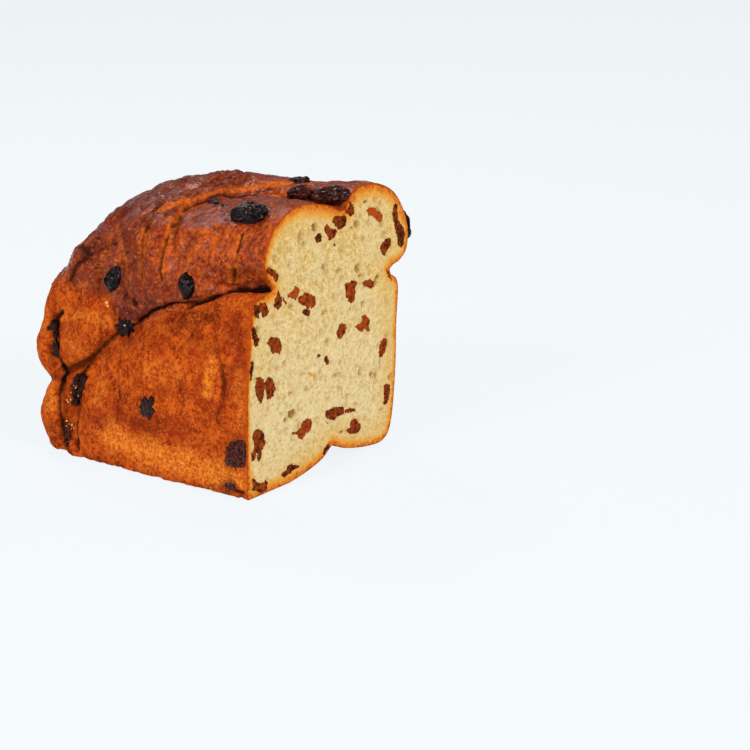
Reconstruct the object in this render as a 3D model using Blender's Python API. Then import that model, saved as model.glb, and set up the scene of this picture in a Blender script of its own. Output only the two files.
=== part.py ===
"""The cut half of a raisin tin loaf: twisted dough strands baked in a tin, then cut straight across.

X runs across the loaf, Y runs from the cut face to the far end, Z is up, and the base lies on Z = 0.
The shape is worked out in millimetres, with Y = 0 on the cut face, and placed in metres at the end.
"""

import math

import bmesh
import bpy
import numpy as np
from mathutils import Matrix, Vector, noise
from mathutils.bvhtree import BVHTree

MM = 0.001

# Driving dimensions of the loaf
LENGTH = 117.0
MID_SECTION = 48.0
FAR_SECTION = 92.0
AXIS_X = 2.0
AXIS_Z = 60.0
END_START_WALL = 99.0
END_START_TOP = 64.0
END_SHARPNESS_WALL = 3.0
END_SHARPNESS_TOP = 2.1

# Where the part's origin is: the middle of its base
ORIGIN_X = 5.29
ORIGIN_Y = 59.34

# Mesh density. The rows stop just short of the far end's middle, where a tip closes them
AROUND = 80
ALONG = 26
END_RINGS = 9
LAST_ROW = 1.97
TIP_RISE = 0.15

# Unevenness of the dough: size of the lumps, their height
WIDE_LUMPS = (26.0, 1.5)
SMALL_LUMPS = (11.0, 0.6)

# Distances over which the relief fades out towards the cut face and towards the flat base
CUT_FADE = 14.0
BASE_FADE = 12.0
CREASE_SHARE_AT_CUT = 0.35

# Raisins: gap round each, half depth of the cut ones, unevenness, thickness against width
POCKET_GAP = 0.3
CUT_DEPTH = 4.2
RAISIN_UNEVEN = 0.26
RAISIN_THICKNESS = 0.72

# Colours
CRUST_COLOUR = (0.52, 0.17, 0.045)
CUT_RAISIN_COLOUR = (0.20, 0.045, 0.012)
BAKED_RAISIN_COLOUR = (0.022, 0.016, 0.018)

# The outline of the cut face, (x, z) in clockwise order from the lower left
CUT_OUTLINE = [
    (-47, 1), (-46.6, 12), (-45.8, 40), (-42.6, 70),
    (-41, 77.5), (-35, 79.5), (-30.5, 80.5),
    (-34.8, 89), (-32, 98), (-25, 106), (-12, 110), (3.9, 107.4),
    (12, 104.6), (16, 106.5),
    (22, 110.8), (35, 111.4), (49, 105), (57.4, 92), (57.4, 81),
    (52, 76), (46.6, 73.3),
    (51.2, 67), (50.2, 50), (49.6, 30), (46.8, 9),
    (41.6, 1.5), (30, 1.3), (11, 5.3), (6.6, 7.6), (0, 4.2), (-12.3, 1.2), (-28, -0.5), (-44, -0.5),
]

# The outline at MID_SECTION, where the strands fill the tin
MID_OUTLINE = [
    (-48.2, 1), (-47.9, 15), (-48, 45), (-47.5, 72), (-46.5, 82), (-42, 94), (-32, 102.5),
    (-16, 106.5), (0, 107), (10, 107.5), (22, 109.5), (36, 108), (47, 101.5), (53, 90),
    (53.5, 78), (51.5, 66), (50.5, 45), (50, 20), (48, 2), (42, -0.8), (0, -0.8), (-44, -0.8),
]

# The outline from FAR_SECTION on, before the end rounds off
FAR_OUTLINE = [
    (-48.4, 1), (-49, 15), (-49.5, 45), (-47.2, 64), (-43, 78), (-34.5, 92), (-20, 103), (0, 108.5),
    (20, 108.5), (38, 102), (48, 91), (51.5, 76), (51, 50), (50, 20), (48, 2), (40, -0.8),
    (0, -0.8), (-44, -0.8),
]

# Where a strand swells out: centre, reach, height
SWELLINGS = [
    ((-47, 111, 43), 15, 3.4),
    ((-47, 111, 14), 16, 2.6),
    ((-36, 97, 86), 15, 4.0),
    ((12, 74, 108), 24, 2.0),
    ((-47, 80, 60), 20, 1.6),
    ((-40, 22, 93), 20, 1.8),
    ((-47, 42, 30), 34, 1.2),
    ((-50, 94, 2), 7, 3.0),
    ((22, 104, 92), 22, 2.5),
    ((50, 92, 76), 20, 2.5),
    ((24, 118, 50), 22, 2.0),
    ((53, 26, 92), 22, 2.0),
]

# Creases between the strands: (x, y, z) points, depth, reach to each side
CREASES = {
    "side_strand_top": (
        [(-38, -3, 81), (-44, 10, 80.5), (-46, 20, 77.5), (-47, 38, 69), (-47, 55, 61), (-47, 66, 53),
         (-48, 80, 40), (-48, 91, 23), (-47, 96, 8), (-46, 99, -2)],
        7.0, 12.0,
    ),
    "top_valley": (
        [(14, -2, 105), (18, 10, 107), (18, 22, 108), (12, 36, 108), (3, 46, 107), (-10, 50, 107),
         (-22, 53, 106)],
        6.0, 11.0,
    ),
    "front_lobe_back": (
        [(-22, 53, 106), (-32, 47, 102), (-41, 40.5, 95), (-46, 39, 88), (-47.5, 38, 80), (-47.5, 39, 70)],
        3.0, 7.0,
    ),
    "far_left_gap": (
        [(-47, 104, 68), (-49, 101, 58), (-49, 101, 38), (-49, 97, 32), (-48, 97, 20), (-46, 98, 4)],
        4.0, 6.0,
    ),
    "far_corner_notch": (
        [(-48, 86, 39), (-49, 98, 34), (-46, 108, 29), (-38, 115, 30), (-20, 117, 37), (6, 117, 47)],
        5.0, 7.0,
    ),
    "far_shoulder": (
        [(-36, 96, 92), (-45, 90, 83), (-48, 90, 74), (-48, 88, 66)],
        3.0, 7.0,
    ),
    "right_strand": (
        [(44, -4, 73), (51, 12, 75.5), (54, 30, 80), (53, 46, 89), (45, 60, 99), (33, 71, 106),
         (18, 80, 108), (2, 91, 105), (-12, 100, 97), (-20, 107, 86), (-24, 113, 72)],
        6.5, 12.0,
    ),
    "base_seam": (
        [(6.6, -3, 5), (14, 16, 0), (30, 42, 0), (46, 60, 2), (51, 74, 18), (51, 86, 36),
         (50, 97, 52), (42, 108, 66), (26, 114, 76)],
        5.5, 11.0,
    ),
    "end_fold": (
        [(40, 114, 12), (22, 117, 30), (6, 117, 47), (-6, 115, 66), (-16, 110, 80)],
        4.0, 8.0,
    ),
}

# Lesser folds that run round the strands
FOLDS = {
    "front_lobe": ([(-31, 8, 101), (-36, 12, 92), (-42, 12, 83)], 1.3, 4.0),
    "left_flank_a": ([(-30, 60, 102), (-40, 55, 96), (-46, 56, 86), (-48, 56, 74)], 1.8, 5.0),
    "left_flank_b": ([(-24, 72, 101), (-38, 73, 93), (-46, 76, 82), (-48, 80, 68)], 2.0, 5.0),
    "left_flank_c": ([(-10, 66, 107), (-24, 62, 105), (-36, 63, 98)], 1.6, 5.0),
    "ridge_a": ([(34, 22, 110), (20, 34, 110), (6, 58, 108), (-6, 66, 107)], 1.4, 5.0),
    "ridge_b": ([(44, 40, 103), (28, 54, 108), (12, 70, 108)], 1.4, 5.0),
    "right_flank_a": ([(53, 62, 88), (53, 54, 74), (51, 50, 60)], 1.6, 5.0),
    "right_flank_b": ([(46, 84, 92), (52, 78, 76), (51, 70, 58)], 1.8, 5.0),
    "right_wall": ([(50, 34, 70), (50.5, 30, 48), (50, 33, 30)], 1.2, 5.0),
    "left_wall": ([(-47, 63, 52), (-48, 66, 36), (-47.5, 67, 16)], 1.2, 4.0),
}

# Raisins that the cut shows: name, x, z, width, height, tilt in degrees
CUT_RAISINS = [
    ("cut_lobe_left", -29.7, 86.3, 6.6, 5.2, -35),
    ("cut_notch", -26.9, 75.5, 4.6, 8.0, 10),
    ("cut_torn", -17.0, 76.4, 6.8, 5.2, 0),
    ("cut_heart", -8.6, 71.4, 10.2, 7.6, -10),
    ("cut_corner_outer", -40.3, 73.6, 4.4, 5.4, 20),
    ("cut_corner_inner", -34.8, 73.4, 4.6, 5.8, -10),
    ("cut_right_upper", 19.1, 69.5, 7.2, 9.0, 0),
    ("cut_right_flat", 31.2, 70.4, 8.4, 4.0, 5),
    ("cut_right_star", 27.7, 54.7, 8.0, 6.6, 0),
    ("cut_middle_right", 13.0, 55.0, 6.4, 7.2, 15),
    ("cut_lobe_right", 42.8, 84.1, 6.8, 6.6, 30),
    ("cut_rim_upper", 48.6, 97.4, 3.0, 6.4, 12),
    ("cut_rim_right", 51.6, 87.6, 5.6, 11.0, 8),
    ("cut_orange", 36.6, 98.0, 8.4, 5.4, -20),
    ("cut_valley_top", 18.6, 102.2, 5.0, 5.4, 10),
    ("cut_valley_middle", 12.4, 98.4, 7.4, 5.2, 25),
    ("cut_valley_lower", 4.6, 95.6, 6.2, 5.2, 20),
    ("cut_valley_end", -2.0, 94.4, 3.8, 4.4, 0),
    ("cut_edge_upper", -41.4, 64.0, 3.6, 7.2, 12),
    ("cut_left_middle", -28.6, 57.7, 8.2, 6.4, -20),
    ("cut_speck", 3.1, 44.3, 3.2, 4.2, -15),
    ("cut_edge_middle", -43.2, 51.0, 2.6, 6.8, 5),
    ("cut_pair_left", -38.6, 42.0, 4.6, 9.8, 0),
    ("cut_pair_right", -32.4, 41.8, 5.4, 8.8, 5),
    ("cut_wall_middle", 40.1, 41.3, 5.4, 7.4, 10),
    ("cut_wall_lower", 43.7, 20.5, 4.6, 9.2, 5),
    ("cut_long", 8.1, 21.0, 11.6, 5.0, 8),
    ("cut_base_right", 20.8, 12.0, 8.2, 6.8, 10),
    ("cut_slanted", -12.6, 20.0, 12.4, 6.0, 32),
    ("cut_tall", -38.9, 21.4, 6.6, 11.0, 8),
    ("cut_seam", 1.6, 8.4, 5.2, 4.4, 40),
    ("cut_hollow", -21.7, 5.8, 9.6, 4.6, 12),
    ("cut_base_left", -37.6, 4.2, 8.0, 5.0, 5),
]

# Raisins on the crust: name, the way in from outside, a point near it, length, width, turn in degrees, how proud
CRUST_RAISINS = [
    ("top_front", (0, 0, -1), (-23.5, 16, 0), 15.5, 10.5, 8, 0.60),
    ("top_slit", (0, 0, -1), (-14, 37, 0), 8.5, 5.0, 20, 0.40),
    ("valley_front", (0, 0, -1), (19, 10, 0), 15.0, 9.5, 5, 0.60),
    ("valley_back", (0, 0, -1), (17, 22, 0), 9.5, 8.0, 60, 0.55),
    ("ridge", (0, 0, -1), (27, 32, 0), 11.5, 6.5, 0, 0.45),
    ("valley_end", (0, 0, -1), (9, 40, 0), 9.0, 6.0, 30, 0.45),
    ("flank_front", (1, 0, 0), (0, 31, 79.5), 10.5, 7.0, 96, 0.55),
    ("flank_back", (1, 0, 0), (0, 67, 78), 10.5, 6.8, 78, 0.55),
    ("crease_star", (1, 0, 0), (0, 61, 58.5), 10.0, 9.0, 40, 0.60),
    ("gap_upper", (1, 0, 0), (0, 100, 54), 9.0, 5.0, 88, 0.60),
    ("gap_lower", (1, 0, 0), (0, 100.5, 43.5), 8.0, 5.0, 92, 0.60),
    ("side_back", (1, 0, 0), (0, 90, 28), 12.5, 6.4, 84, 0.50),
    ("side_middle", (1, 0, 0), (0, 51, 28), 9.0, 6.6, 95, 0.30),
    ("side_corner", (1, 0, 0), (0, 6.8, 17.2), 11.0, 10.5, 70, 0.30),
    ("side_foot", (1, 0, 0), (0, 9.5, 3.9), 5.4, 4.0, 20, 0.40),
    ("gap_foot", (1, 0, 0), (0, 97, 8), 8.5, 4.4, 90, 0.50),
    ("lobe_outer", (-1, 0, 0), (0, 3.8, 89.5), 9.5, 6.0, 88, 0.95),
    ("right_crease", (-1, 0, 0), (0, 34, 80), 10.0, 7.5, 60, 0.58),
    ("right_wall_upper", (-1, 0, 0), (0, 72, 66), 10.5, 7.0, 75, 0.50),
    ("right_wall_lower", (-1, 0, 0), (0, 22, 30), 9.5, 7.0, 100, 0.35),
    ("right_seam", (-1, 0, 0), (0, 80, 26), 9.5, 6.5, 60, 0.55),
    ("end_upper", (0, -1, 0), (22, 0, 70), 11.0, 7.5, 30, 0.50),
    ("end_middle", (0, -1, 0), (-24, 0, 56), 9.5, 7.0, 100, 0.45),
    ("end_lower", (0, -1, 0), (14, 0, 22), 9.0, 6.5, 15, 0.40),
    ("dome_back", (0, 0, -1), (30, 86, 0), 12.0, 8.0, 110, 0.55),
]


def clear_scene():
    for old in list(bpy.data.objects):
        bpy.data.objects.remove(old, do_unlink=True)


def smooth_step(value):
    value = np.clip(value, 0, 1)
    return value * value * (3 - 2 * value)


# Outlines and sections
def spline_through(points, steps=12):
    """A closed Catmull-Rom curve through the points."""
    knots = np.array(points, float)
    before, after = np.roll(knots, 1, axis=0), np.roll(knots, -1, axis=0)
    beyond = np.roll(knots, -2, axis=0)
    t = np.linspace(0, 1, steps, endpoint=False)[None, :, None]
    p0, p1, p2, p3 = (k[:, None, :] for k in (before, knots, after, beyond))
    curve = 0.5 * (
        2 * p1
        + (p2 - p0) * t
        + (2 * p0 - 5 * p1 + 4 * p2 - p3) * t**2
        + (3 * p1 - p0 - 3 * p2 + p3) * t**3
    )
    return curve.reshape(-1, 2)


def radius_of(outline, angles):
    """The outline's distance from the loaf's axis in each direction."""
    curve = spline_through(outline) - (AXIS_X, AXIS_Z)
    turn = np.arctan2(curve[:, 1], curve[:, 0])
    order = np.argsort(turn)
    reach = np.hypot(curve[:, 0], curve[:, 1])[order]
    turn = turn[order]
    wrapped = (angles + math.pi) % (2 * math.pi) - math.pi
    return np.interp(wrapped, turn, reach, period=2 * math.pi)


def section_radius(angles, y):
    """Radius at each angle and distance from the cut, before the far end rounds off."""
    cut, mid, far = (radius_of(o, angles) for o in (CUT_OUTLINE, MID_OUTLINE, FAR_OUTLINE))
    to_mid = smooth_step(y / MID_SECTION)
    to_far = smooth_step((y - MID_SECTION) / (FAR_SECTION - MID_SECTION))
    return (cut * (1 - to_mid) + mid * to_mid) * (1 - to_far) + far * to_far


def base_form(angles, along):
    """Points of the plain form. along is 0 to 1 down the sides, then 1 to 2 round the far end."""
    upward = smooth_step((np.sin(angles) + 0.02) / 0.72)
    start = END_START_WALL + (END_START_TOP - END_START_WALL) * upward
    power = END_SHARPNESS_WALL + (END_SHARPNESS_TOP - END_SHARPNESS_WALL) * upward
    quarter = np.clip(along - 1, 0, 1) * math.pi / 2
    y = start * np.clip(along, 0, 1) + (LENGTH - start) * np.sin(quarter) ** (2 / power)
    shrink = np.clip(np.cos(quarter), 0, 1) ** (2 / power)
    reach = section_radius(angles, y) * shrink
    return np.stack([AXIS_X + reach * np.cos(angles), y, AXIS_Z + reach * np.sin(angles)], axis=-1)


# Relief
def distance_to_line(points, line):
    """Distance from each point to a chain of straight pieces."""
    nearest = np.full(points.shape[:-1], np.inf)
    knots = np.array(line, float)
    for a, b in zip(knots[:-1], knots[1:]):
        edge = b - a
        share = np.clip(((points - a) @ edge) / (edge @ edge), 0, 1)
        gap = np.linalg.norm(points - a - share[..., None] * edge, axis=-1)
        nearest = np.minimum(nearest, gap)
    return nearest


def groove(points, line, depth, reach):
    """A sharp valley with round shoulders, as where two strands of dough meet."""
    near = np.clip(1 - distance_to_line(points, line) / reach, 0, 1)
    return -depth * (1 - np.sqrt(1 - near**2))


def lumps(points):
    """Slow unevenness of the baked dough."""
    height = np.zeros(points[..., 0].size)
    for shift, (size, rise) in enumerate((WIDE_LUMPS, SMALL_LUMPS)):
        drift = Vector((7, 3, 1)) * shift
        height += [rise * noise.noise(Vector(p) / size + drift) for p in points.reshape(-1, 3)]
    return height.reshape(points.shape[:-1])


def swelling(points):
    height = np.zeros(points.shape[:-1])
    for centre, reach, rise in SWELLINGS:
        gap = np.linalg.norm(points - np.array(centre, float), axis=-1)
        height += rise * smooth_step(1 - gap / reach)
    return height


def relief(points):
    deepest = np.zeros(points.shape[:-1])
    for line, depth, reach in CREASES.values():
        deepest = np.minimum(deepest, groove(points, line, depth, reach))
    folds = np.zeros(points.shape[:-1])
    for line, depth, reach in FOLDS.values():
        folds = np.minimum(folds, groove(points, line, depth, reach))
    settled = smooth_step(points[..., 1] / CUT_FADE)
    off_base = smooth_step(points[..., 2] / BASE_FADE)
    uneven = folds + swelling(points) + lumps(points) * off_base
    crease_share = CREASE_SHARE_AT_CUT + (1 - CREASE_SHARE_AT_CUT) * settled
    return deepest * crease_share + uneven * settled


def surface_normals(grid):
    """Outward normals of a grid whose rows run round the loaf."""
    across = np.roll(grid, -1, axis=1) - np.roll(grid, 1, axis=1)
    down = np.gradient(grid, axis=0)
    normal = np.cross(down, across)
    size = np.linalg.norm(normal, axis=-1, keepdims=True)
    return normal / np.maximum(size, 1e-9)


def loaf_grid(around, along, end_rings):
    """Rows of points from the cut face to near the middle of the far end."""
    angles = np.linspace(0, 2 * math.pi, around, endpoint=False)
    sides = np.linspace(0, 1, along, endpoint=False)
    steps = np.concatenate([sides, np.linspace(1, LAST_ROW, end_rings)])
    angle_grid, step_grid = np.meshgrid(angles, steps)
    grid = base_form(angle_grid, step_grid)
    normal = surface_normals(grid)
    inward = np.sum(normal * (grid - (AXIS_X, LENGTH / 2, AXIS_Z)), axis=-1) < 0
    normal[inward] *= -1
    end_on = smooth_step((step_grid - 1.6) / 0.3)[..., None]
    normal = normal * (1 - end_on) + np.array([0, 1, 0]) * end_on
    normal[0, :, 1] = 0
    grid = grid + normal * relief(grid)[..., None]
    grid[0, :, 1] = 0
    grid[..., 2] = np.maximum(grid[..., 2], 0)
    return grid


# Placing and materials
def to_part(point):
    """Millimetres from the cut to metres in the part's frame."""
    return Vector((point[0] - ORIGIN_X, point[1] - ORIGIN_Y, point[2])) * MM


def make_material(name, colour, roughness):
    material = bpy.data.materials.new(name)
    material.use_nodes = True
    shader = material.node_tree.nodes["Principled BSDF"]
    shader.inputs["Base Color"].default_value = (*colour, 1)
    shader.inputs["Roughness"].default_value = roughness
    shader.inputs["Metallic"].default_value = 0
    material.diffuse_color = (*colour, 1)
    return material


def add_object(name, mesh_data, collection, material):
    piece = bpy.data.objects.new(name, mesh_data)
    collection.objects.link(piece)
    if material:
        mesh_data.materials.append(material)
    return piece


# The loaf
def build_loaf(collection):
    grid = loaf_grid(AROUND, ALONG, END_RINGS)
    shape = bmesh.new()
    rows = [[shape.verts.new(to_part(p)) for p in row] for row in grid]
    for near, far in zip(rows[:-1], rows[1:]):
        for i in range(AROUND):
            j = (i + 1) % AROUND
            shape.faces.new((near[i], near[j], far[j], far[i]))
    cut_face = shape.faces.new(list(reversed(rows[0])))
    end_middle = grid[-1].mean(axis=0) + (0, TIP_RISE, 0)
    tip = shape.verts.new(to_part(end_middle))
    for i in range(AROUND):
        shape.faces.new((rows[-1][i], rows[-1][(i + 1) % AROUND], tip))
    bmesh.ops.triangulate(shape, faces=[f for f in shape.faces if len(f.verts) == 4])
    bmesh.ops.recalc_face_normals(shape, faces=shape.faces)
    for face in shape.faces:
        face.smooth = face is not cut_face
    mesh_data = bpy.data.meshes.new("loaf")
    shape.to_mesh(mesh_data)
    shape.free()
    crust = make_material("loaf_crust", CRUST_COLOUR, 0.55)
    return add_object("loaf", mesh_data, collection, crust)


# Raisins
def raisin_form(radii, seed):
    """An uneven blob, in millimetres round its own middle."""
    blob = bmesh.new()
    bmesh.ops.create_uvsphere(blob, u_segments=8, v_segments=5, radius=1)
    longest = radii.index(max(radii))
    to_tips = Matrix.Rotation(math.radians(90), 4, "YX"[longest]) if longest < 2 else Matrix()
    bmesh.ops.transform(blob, matrix=to_tips, verts=blob.verts)
    bmesh.ops.triangulate(blob, faces=blob.faces)
    drift = Vector((seed * 3.7, seed * 1.3, -seed * 2.1))
    for v in blob.verts:
        direction = v.co.normalized()
        swell = 1 + RAISIN_UNEVEN * noise.noise(direction * 1.5 + drift)
        v.co = Vector(r * swell * c for r, c in zip(radii, direction))
    return blob


def raisin_pieces(name, blob, place, collection, cutters, material, cut_off):
    """The raisin and the slightly larger blob that makes its pocket."""
    bmesh.ops.transform(blob, matrix=place, verts=blob.verts)
    blob.normal_update()
    pocket = blob.copy()
    for v in pocket.verts:
        v.co += v.normal * POCKET_GAP
    if cut_off:
        whole = blob.verts[:] + blob.edges[:] + blob.faces[:]
        made = bmesh.ops.bisect_plane(
            blob, geom=whole, plane_co=(0, 0, 0), plane_no=(0, -1, 0), clear_outer=True
        )
        rim = [e for e in made["geom_cut"] if isinstance(e, bmesh.types.BMEdge)]
        bmesh.ops.contextual_create(blob, geom=rim)
        bmesh.ops.recalc_face_normals(blob, faces=blob.faces)
    for form, target, label, finish in (
        (blob, collection, name, material),
        (pocket, cutters, name + "_pocket", None),
    ):
        for v in form.verts:
            v.co = to_part(v.co)
        mesh_data = bpy.data.meshes.new(label)
        form.to_mesh(mesh_data)
        form.free()
        mesh_data.shade_smooth()
        piece = add_object(label, mesh_data, target, finish)
        if target is cutters:
            piece.hide_render = True
            piece.display_type = "WIRE"


def build_cut_raisins(collection, cutters):
    for seed, (name, x, z, width, height, tilt) in enumerate(CUT_RAISINS):
        blob = raisin_form((width / 2, CUT_DEPTH, height / 2), seed + 1)
        depth_in = -0.9 + 0.3 * (seed % 3)
        turn = Matrix.Rotation(math.radians(-tilt), 4, "Y")
        place = Matrix.Translation((x, depth_in, z)) @ turn
        material = make_material(name, CUT_RAISIN_COLOUR, 0.5)
        raisin_pieces(name, blob, place, collection, cutters, material, cut_off=True)


def build_crust_raisins(collection, cutters, loaf):
    tree = BVHTree.FromPolygons(
        [v.co.copy() for v in loaf.data.vertices], [p.vertices[:] for p in loaf.data.polygons]
    )
    for seed, (name, inward, near, length, width, turn, proud) in enumerate(CRUST_RAISINS):
        heading = Vector(inward)
        start = to_part(near) - heading * 2 * LENGTH * MM
        spot, normal, _, _ = tree.ray_cast(start, heading)
        spot = spot / MM + Vector((ORIGIN_X, ORIGIN_Y, 0))
        normal = normal if normal.dot(heading) < 0 else -normal
        thick = RAISIN_THICKNESS * width
        along = Vector((0, 1, 0)) if abs(normal.y) < 0.7 else Vector((1, 0, 0))
        side = normal.cross(along).normalized()
        along = side.cross(normal)
        axes = Matrix((along, side, normal)).transposed().to_4x4()
        sunk = spot - normal * thick * (0.5 - proud)
        spin = Matrix.Rotation(math.radians(turn), 4, "Z")
        place = Matrix.Translation(sunk) @ axes @ spin
        blob = raisin_form((length / 2, width / 2, thick / 2), 50 + seed)
        material = make_material(name, BAKED_RAISIN_COLOUR, 0.4)
        raisin_pieces(name, blob, place, collection, cutters, material, cut_off=False)


def main():
    clear_scene()
    scene_root = bpy.context.scene.collection
    parts = bpy.data.collections.new("tin_loaf")
    cutters = bpy.data.collections.new("tin_loaf_cutters")
    scene_root.children.link(parts)
    scene_root.children.link(cutters)
    loaf = build_loaf(parts)
    build_cut_raisins(parts, cutters)
    build_crust_raisins(parts, cutters, loaf)
    pockets = loaf.modifiers.new("raisin_pockets", "BOOLEAN")
    pockets.operation = "DIFFERENCE"
    pockets.operand_type = "COLLECTION"
    pockets.collection = cutters
    pockets.solver = "EXACT"


main()
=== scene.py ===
"""The looks of the cut raisin tin loaf: its crust, crumb and raisins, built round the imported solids.

Lengths are in millimetres with Y = 0 on the cut face, as in the solids' source. to_part turns them into
metres. Pixels are in the photo's 750 x 750 frame, cast from the camera onto the loaf or onto its cut face.
"""

import math

import bmesh
import bpy
import numpy as np
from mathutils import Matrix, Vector, noise
from mathutils.bvhtree import BVHTree
from mathutils.geometry import delaunay_2d_cdt
from mathutils.kdtree import KDTree


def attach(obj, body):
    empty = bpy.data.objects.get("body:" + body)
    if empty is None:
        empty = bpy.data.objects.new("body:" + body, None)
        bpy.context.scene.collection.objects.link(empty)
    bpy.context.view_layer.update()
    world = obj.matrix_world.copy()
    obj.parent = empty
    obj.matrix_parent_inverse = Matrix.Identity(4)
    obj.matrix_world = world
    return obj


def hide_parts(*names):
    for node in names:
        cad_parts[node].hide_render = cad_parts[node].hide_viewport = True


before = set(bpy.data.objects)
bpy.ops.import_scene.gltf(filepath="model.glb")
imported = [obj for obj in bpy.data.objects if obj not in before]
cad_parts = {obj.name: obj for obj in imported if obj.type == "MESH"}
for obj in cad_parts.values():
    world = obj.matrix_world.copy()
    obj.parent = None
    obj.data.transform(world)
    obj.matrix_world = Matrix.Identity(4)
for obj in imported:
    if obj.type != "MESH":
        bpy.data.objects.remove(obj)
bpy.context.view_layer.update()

MM = 0.001

# Camera: the place and direction that the photo was taken from
CAMERA_AT = Vector((-0.56799, -0.50174, 0.2519))
CAMERA_FORWARD = Vector((0.7706, 0.5701, -0.2849)).normalized()
LENS = 90.0
SENSOR = 36.0
PHOTO_SIZE = 750

# Studio, in metres: the floor and its glow, the sky's glow, and each soft light's name, place, size and power
FLOOR_SIZE = 12
FLOOR_HEIGHT = -0.0004
FLOOR_GLOW = 0.925
SKY_GLOW = 0.32
LIGHTS_AIM = Vector((0, 0, 0.05))
LIGHTS = [
    ("back_box", (0.35, 0.7, 0.95), 0.22, 4.0),
    ("front_box", (-0.1, -1.3, 0.9), 0.45, 15.0),
    ("left_box", (-1.3, 0.1, 0.8), 0.32, 13.0),
]

# Driving dimensions of the loaf, as in the solids' source
LENGTH = 117.0
MID_SECTION = 48.0
FAR_SECTION = 92.0
AXIS_X = 2.0
AXIS_Z = 60.0
END_START_WALL = 99.0
END_START_TOP = 64.0
END_SHARPNESS_WALL = 3.0
END_SHARPNESS_TOP = 2.1
ORIGIN_X = 5.29
ORIGIN_Y = 59.34
WIDE_LUMPS = (26.0, 1.5)
SMALL_LUMPS = (11.0, 0.6)
CUT_FADE = 14.0
BASE_FADE = 12.0
CREASE_SHARE_AT_CUT = 0.35

# Mesh density of the crust and the crumb, and how they close behind the cut face
AROUND = 500
ALONG = 128
END_RINGS = 58
LAST_ROW = 1.97
TIP_RISE = 0.15
CRUMB_STEP = 0.42
PLUG_DEPTH = 3.5
PLUG_INSET = 3.0
CAP_DEPTH = 4.0

# The outline of the cut face, (x, z) in clockwise order from the lower left
CUT_OUTLINE = [
    (-47, 1), (-46.6, 12), (-45.8, 40), (-42.6, 70),
    (-41, 77.5), (-35, 79.5), (-30.5, 80.5),
    (-34.8, 89), (-32, 98), (-25, 106), (-12, 110), (3.9, 107.4),
    (12, 104.6), (16, 106.5),
    (22, 110.8), (35, 111.4), (49, 105), (57.4, 92), (57.4, 81),
    (52, 76), (46.6, 73.3),
    (51.2, 67), (50.2, 50), (49.6, 30), (46.8, 9),
    (41.6, 1.5), (30, 1.3), (11, 5.3), (6.6, 7.6), (0, 4.2), (-12.3, 1.2), (-28, -0.5), (-44, -0.5),
]

# The outline at MID_SECTION, where the strands fill the tin
MID_OUTLINE = [
    (-48.2, 1), (-47.9, 15), (-48, 45), (-47.5, 72), (-46.5, 82), (-42, 94), (-32, 102.5),
    (-16, 106.5), (0, 107), (10, 107.5), (22, 109.5), (36, 108), (47, 101.5), (53, 90),
    (53.5, 78), (51.5, 66), (50.5, 45), (50, 20), (48, 2), (42, -0.8), (0, -0.8), (-44, -0.8),
]

# The outline from FAR_SECTION on, before the end rounds off
FAR_OUTLINE = [
    (-48.4, 1), (-49, 15), (-49.5, 45), (-47.2, 64), (-43, 78), (-34.5, 92), (-20, 103), (0, 108.5),
    (20, 108.5), (38, 102), (48, 91), (51.5, 76), (51, 50), (50, 20), (48, 2), (40, -0.8),
    (0, -0.8), (-44, -0.8),
]

# Where a strand swells out: centre, reach, height
SWELLINGS = [
    ((-47, 111, 43), 15, 3.4),
    ((-47, 111, 14), 16, 2.6),
    ((-36, 97, 86), 15, 4.0),
    ((12, 74, 108), 24, 2.0),
    ((-47, 80, 60), 20, 1.6),
    ((-40, 22, 93), 20, 1.8),
    ((-47, 42, 30), 34, 1.2),
    ((-50, 94, 2), 7, 3.0),
    ((22, 104, 92), 22, 2.5),
    ((50, 92, 76), 20, 2.5),
    ((24, 118, 50), 22, 2.0),
    ((53, 26, 92), 22, 2.0),
]

# Creases between the strands: (x, y, z) points, depth, reach to each side
CREASES = {
    "side_strand_top": (
        [(-38, -3, 81), (-44, 10, 80.5), (-46, 20, 77.5), (-47, 38, 69), (-47, 55, 61), (-47, 66, 53),
         (-48, 80, 40), (-48, 91, 23), (-47, 96, 8), (-46, 99, -2)],
        7.0, 12.0,
    ),
    "top_valley": (
        [(14, -2, 105), (18, 10, 107), (18, 22, 108), (12, 36, 108), (3, 46, 107), (-10, 50, 107),
         (-22, 53, 106)],
        6.0, 11.0,
    ),
    "front_lobe_back": (
        [(-22, 53, 106), (-32, 47, 102), (-41, 40.5, 95), (-46, 39, 88), (-47.5, 38, 80), (-47.5, 39, 70)],
        3.0, 7.0,
    ),
    "far_left_gap": (
        [(-47, 104, 68), (-49, 101, 58), (-49, 101, 38), (-49, 97, 32), (-48, 97, 20), (-46, 98, 4)],
        4.0, 6.0,
    ),
    "far_corner_notch": (
        [(-48, 86, 39), (-49, 98, 34), (-46, 108, 29), (-38, 115, 30), (-20, 117, 37), (6, 117, 47)],
        5.0, 7.0,
    ),
    "far_shoulder": (
        [(-36, 96, 92), (-45, 90, 83), (-48, 90, 74), (-48, 88, 66)],
        3.0, 7.0,
    ),
    "right_strand": (
        [(44, -4, 73), (51, 12, 75.5), (54, 30, 80), (53, 46, 89), (45, 60, 99), (33, 71, 106),
         (18, 80, 108), (2, 91, 105), (-12, 100, 97), (-20, 107, 86), (-24, 113, 72)],
        6.5, 12.0,
    ),
    "base_seam": (
        [(6.6, -3, 5), (14, 16, 0), (30, 42, 0), (46, 60, 2), (51, 74, 18), (51, 86, 36),
         (50, 97, 52), (42, 108, 66), (26, 114, 76)],
        5.5, 11.0,
    ),
    "end_fold": (
        [(40, 114, 12), (22, 117, 30), (6, 117, 47), (-6, 115, 66), (-16, 110, 80)],
        4.0, 8.0,
    ),
}

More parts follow.
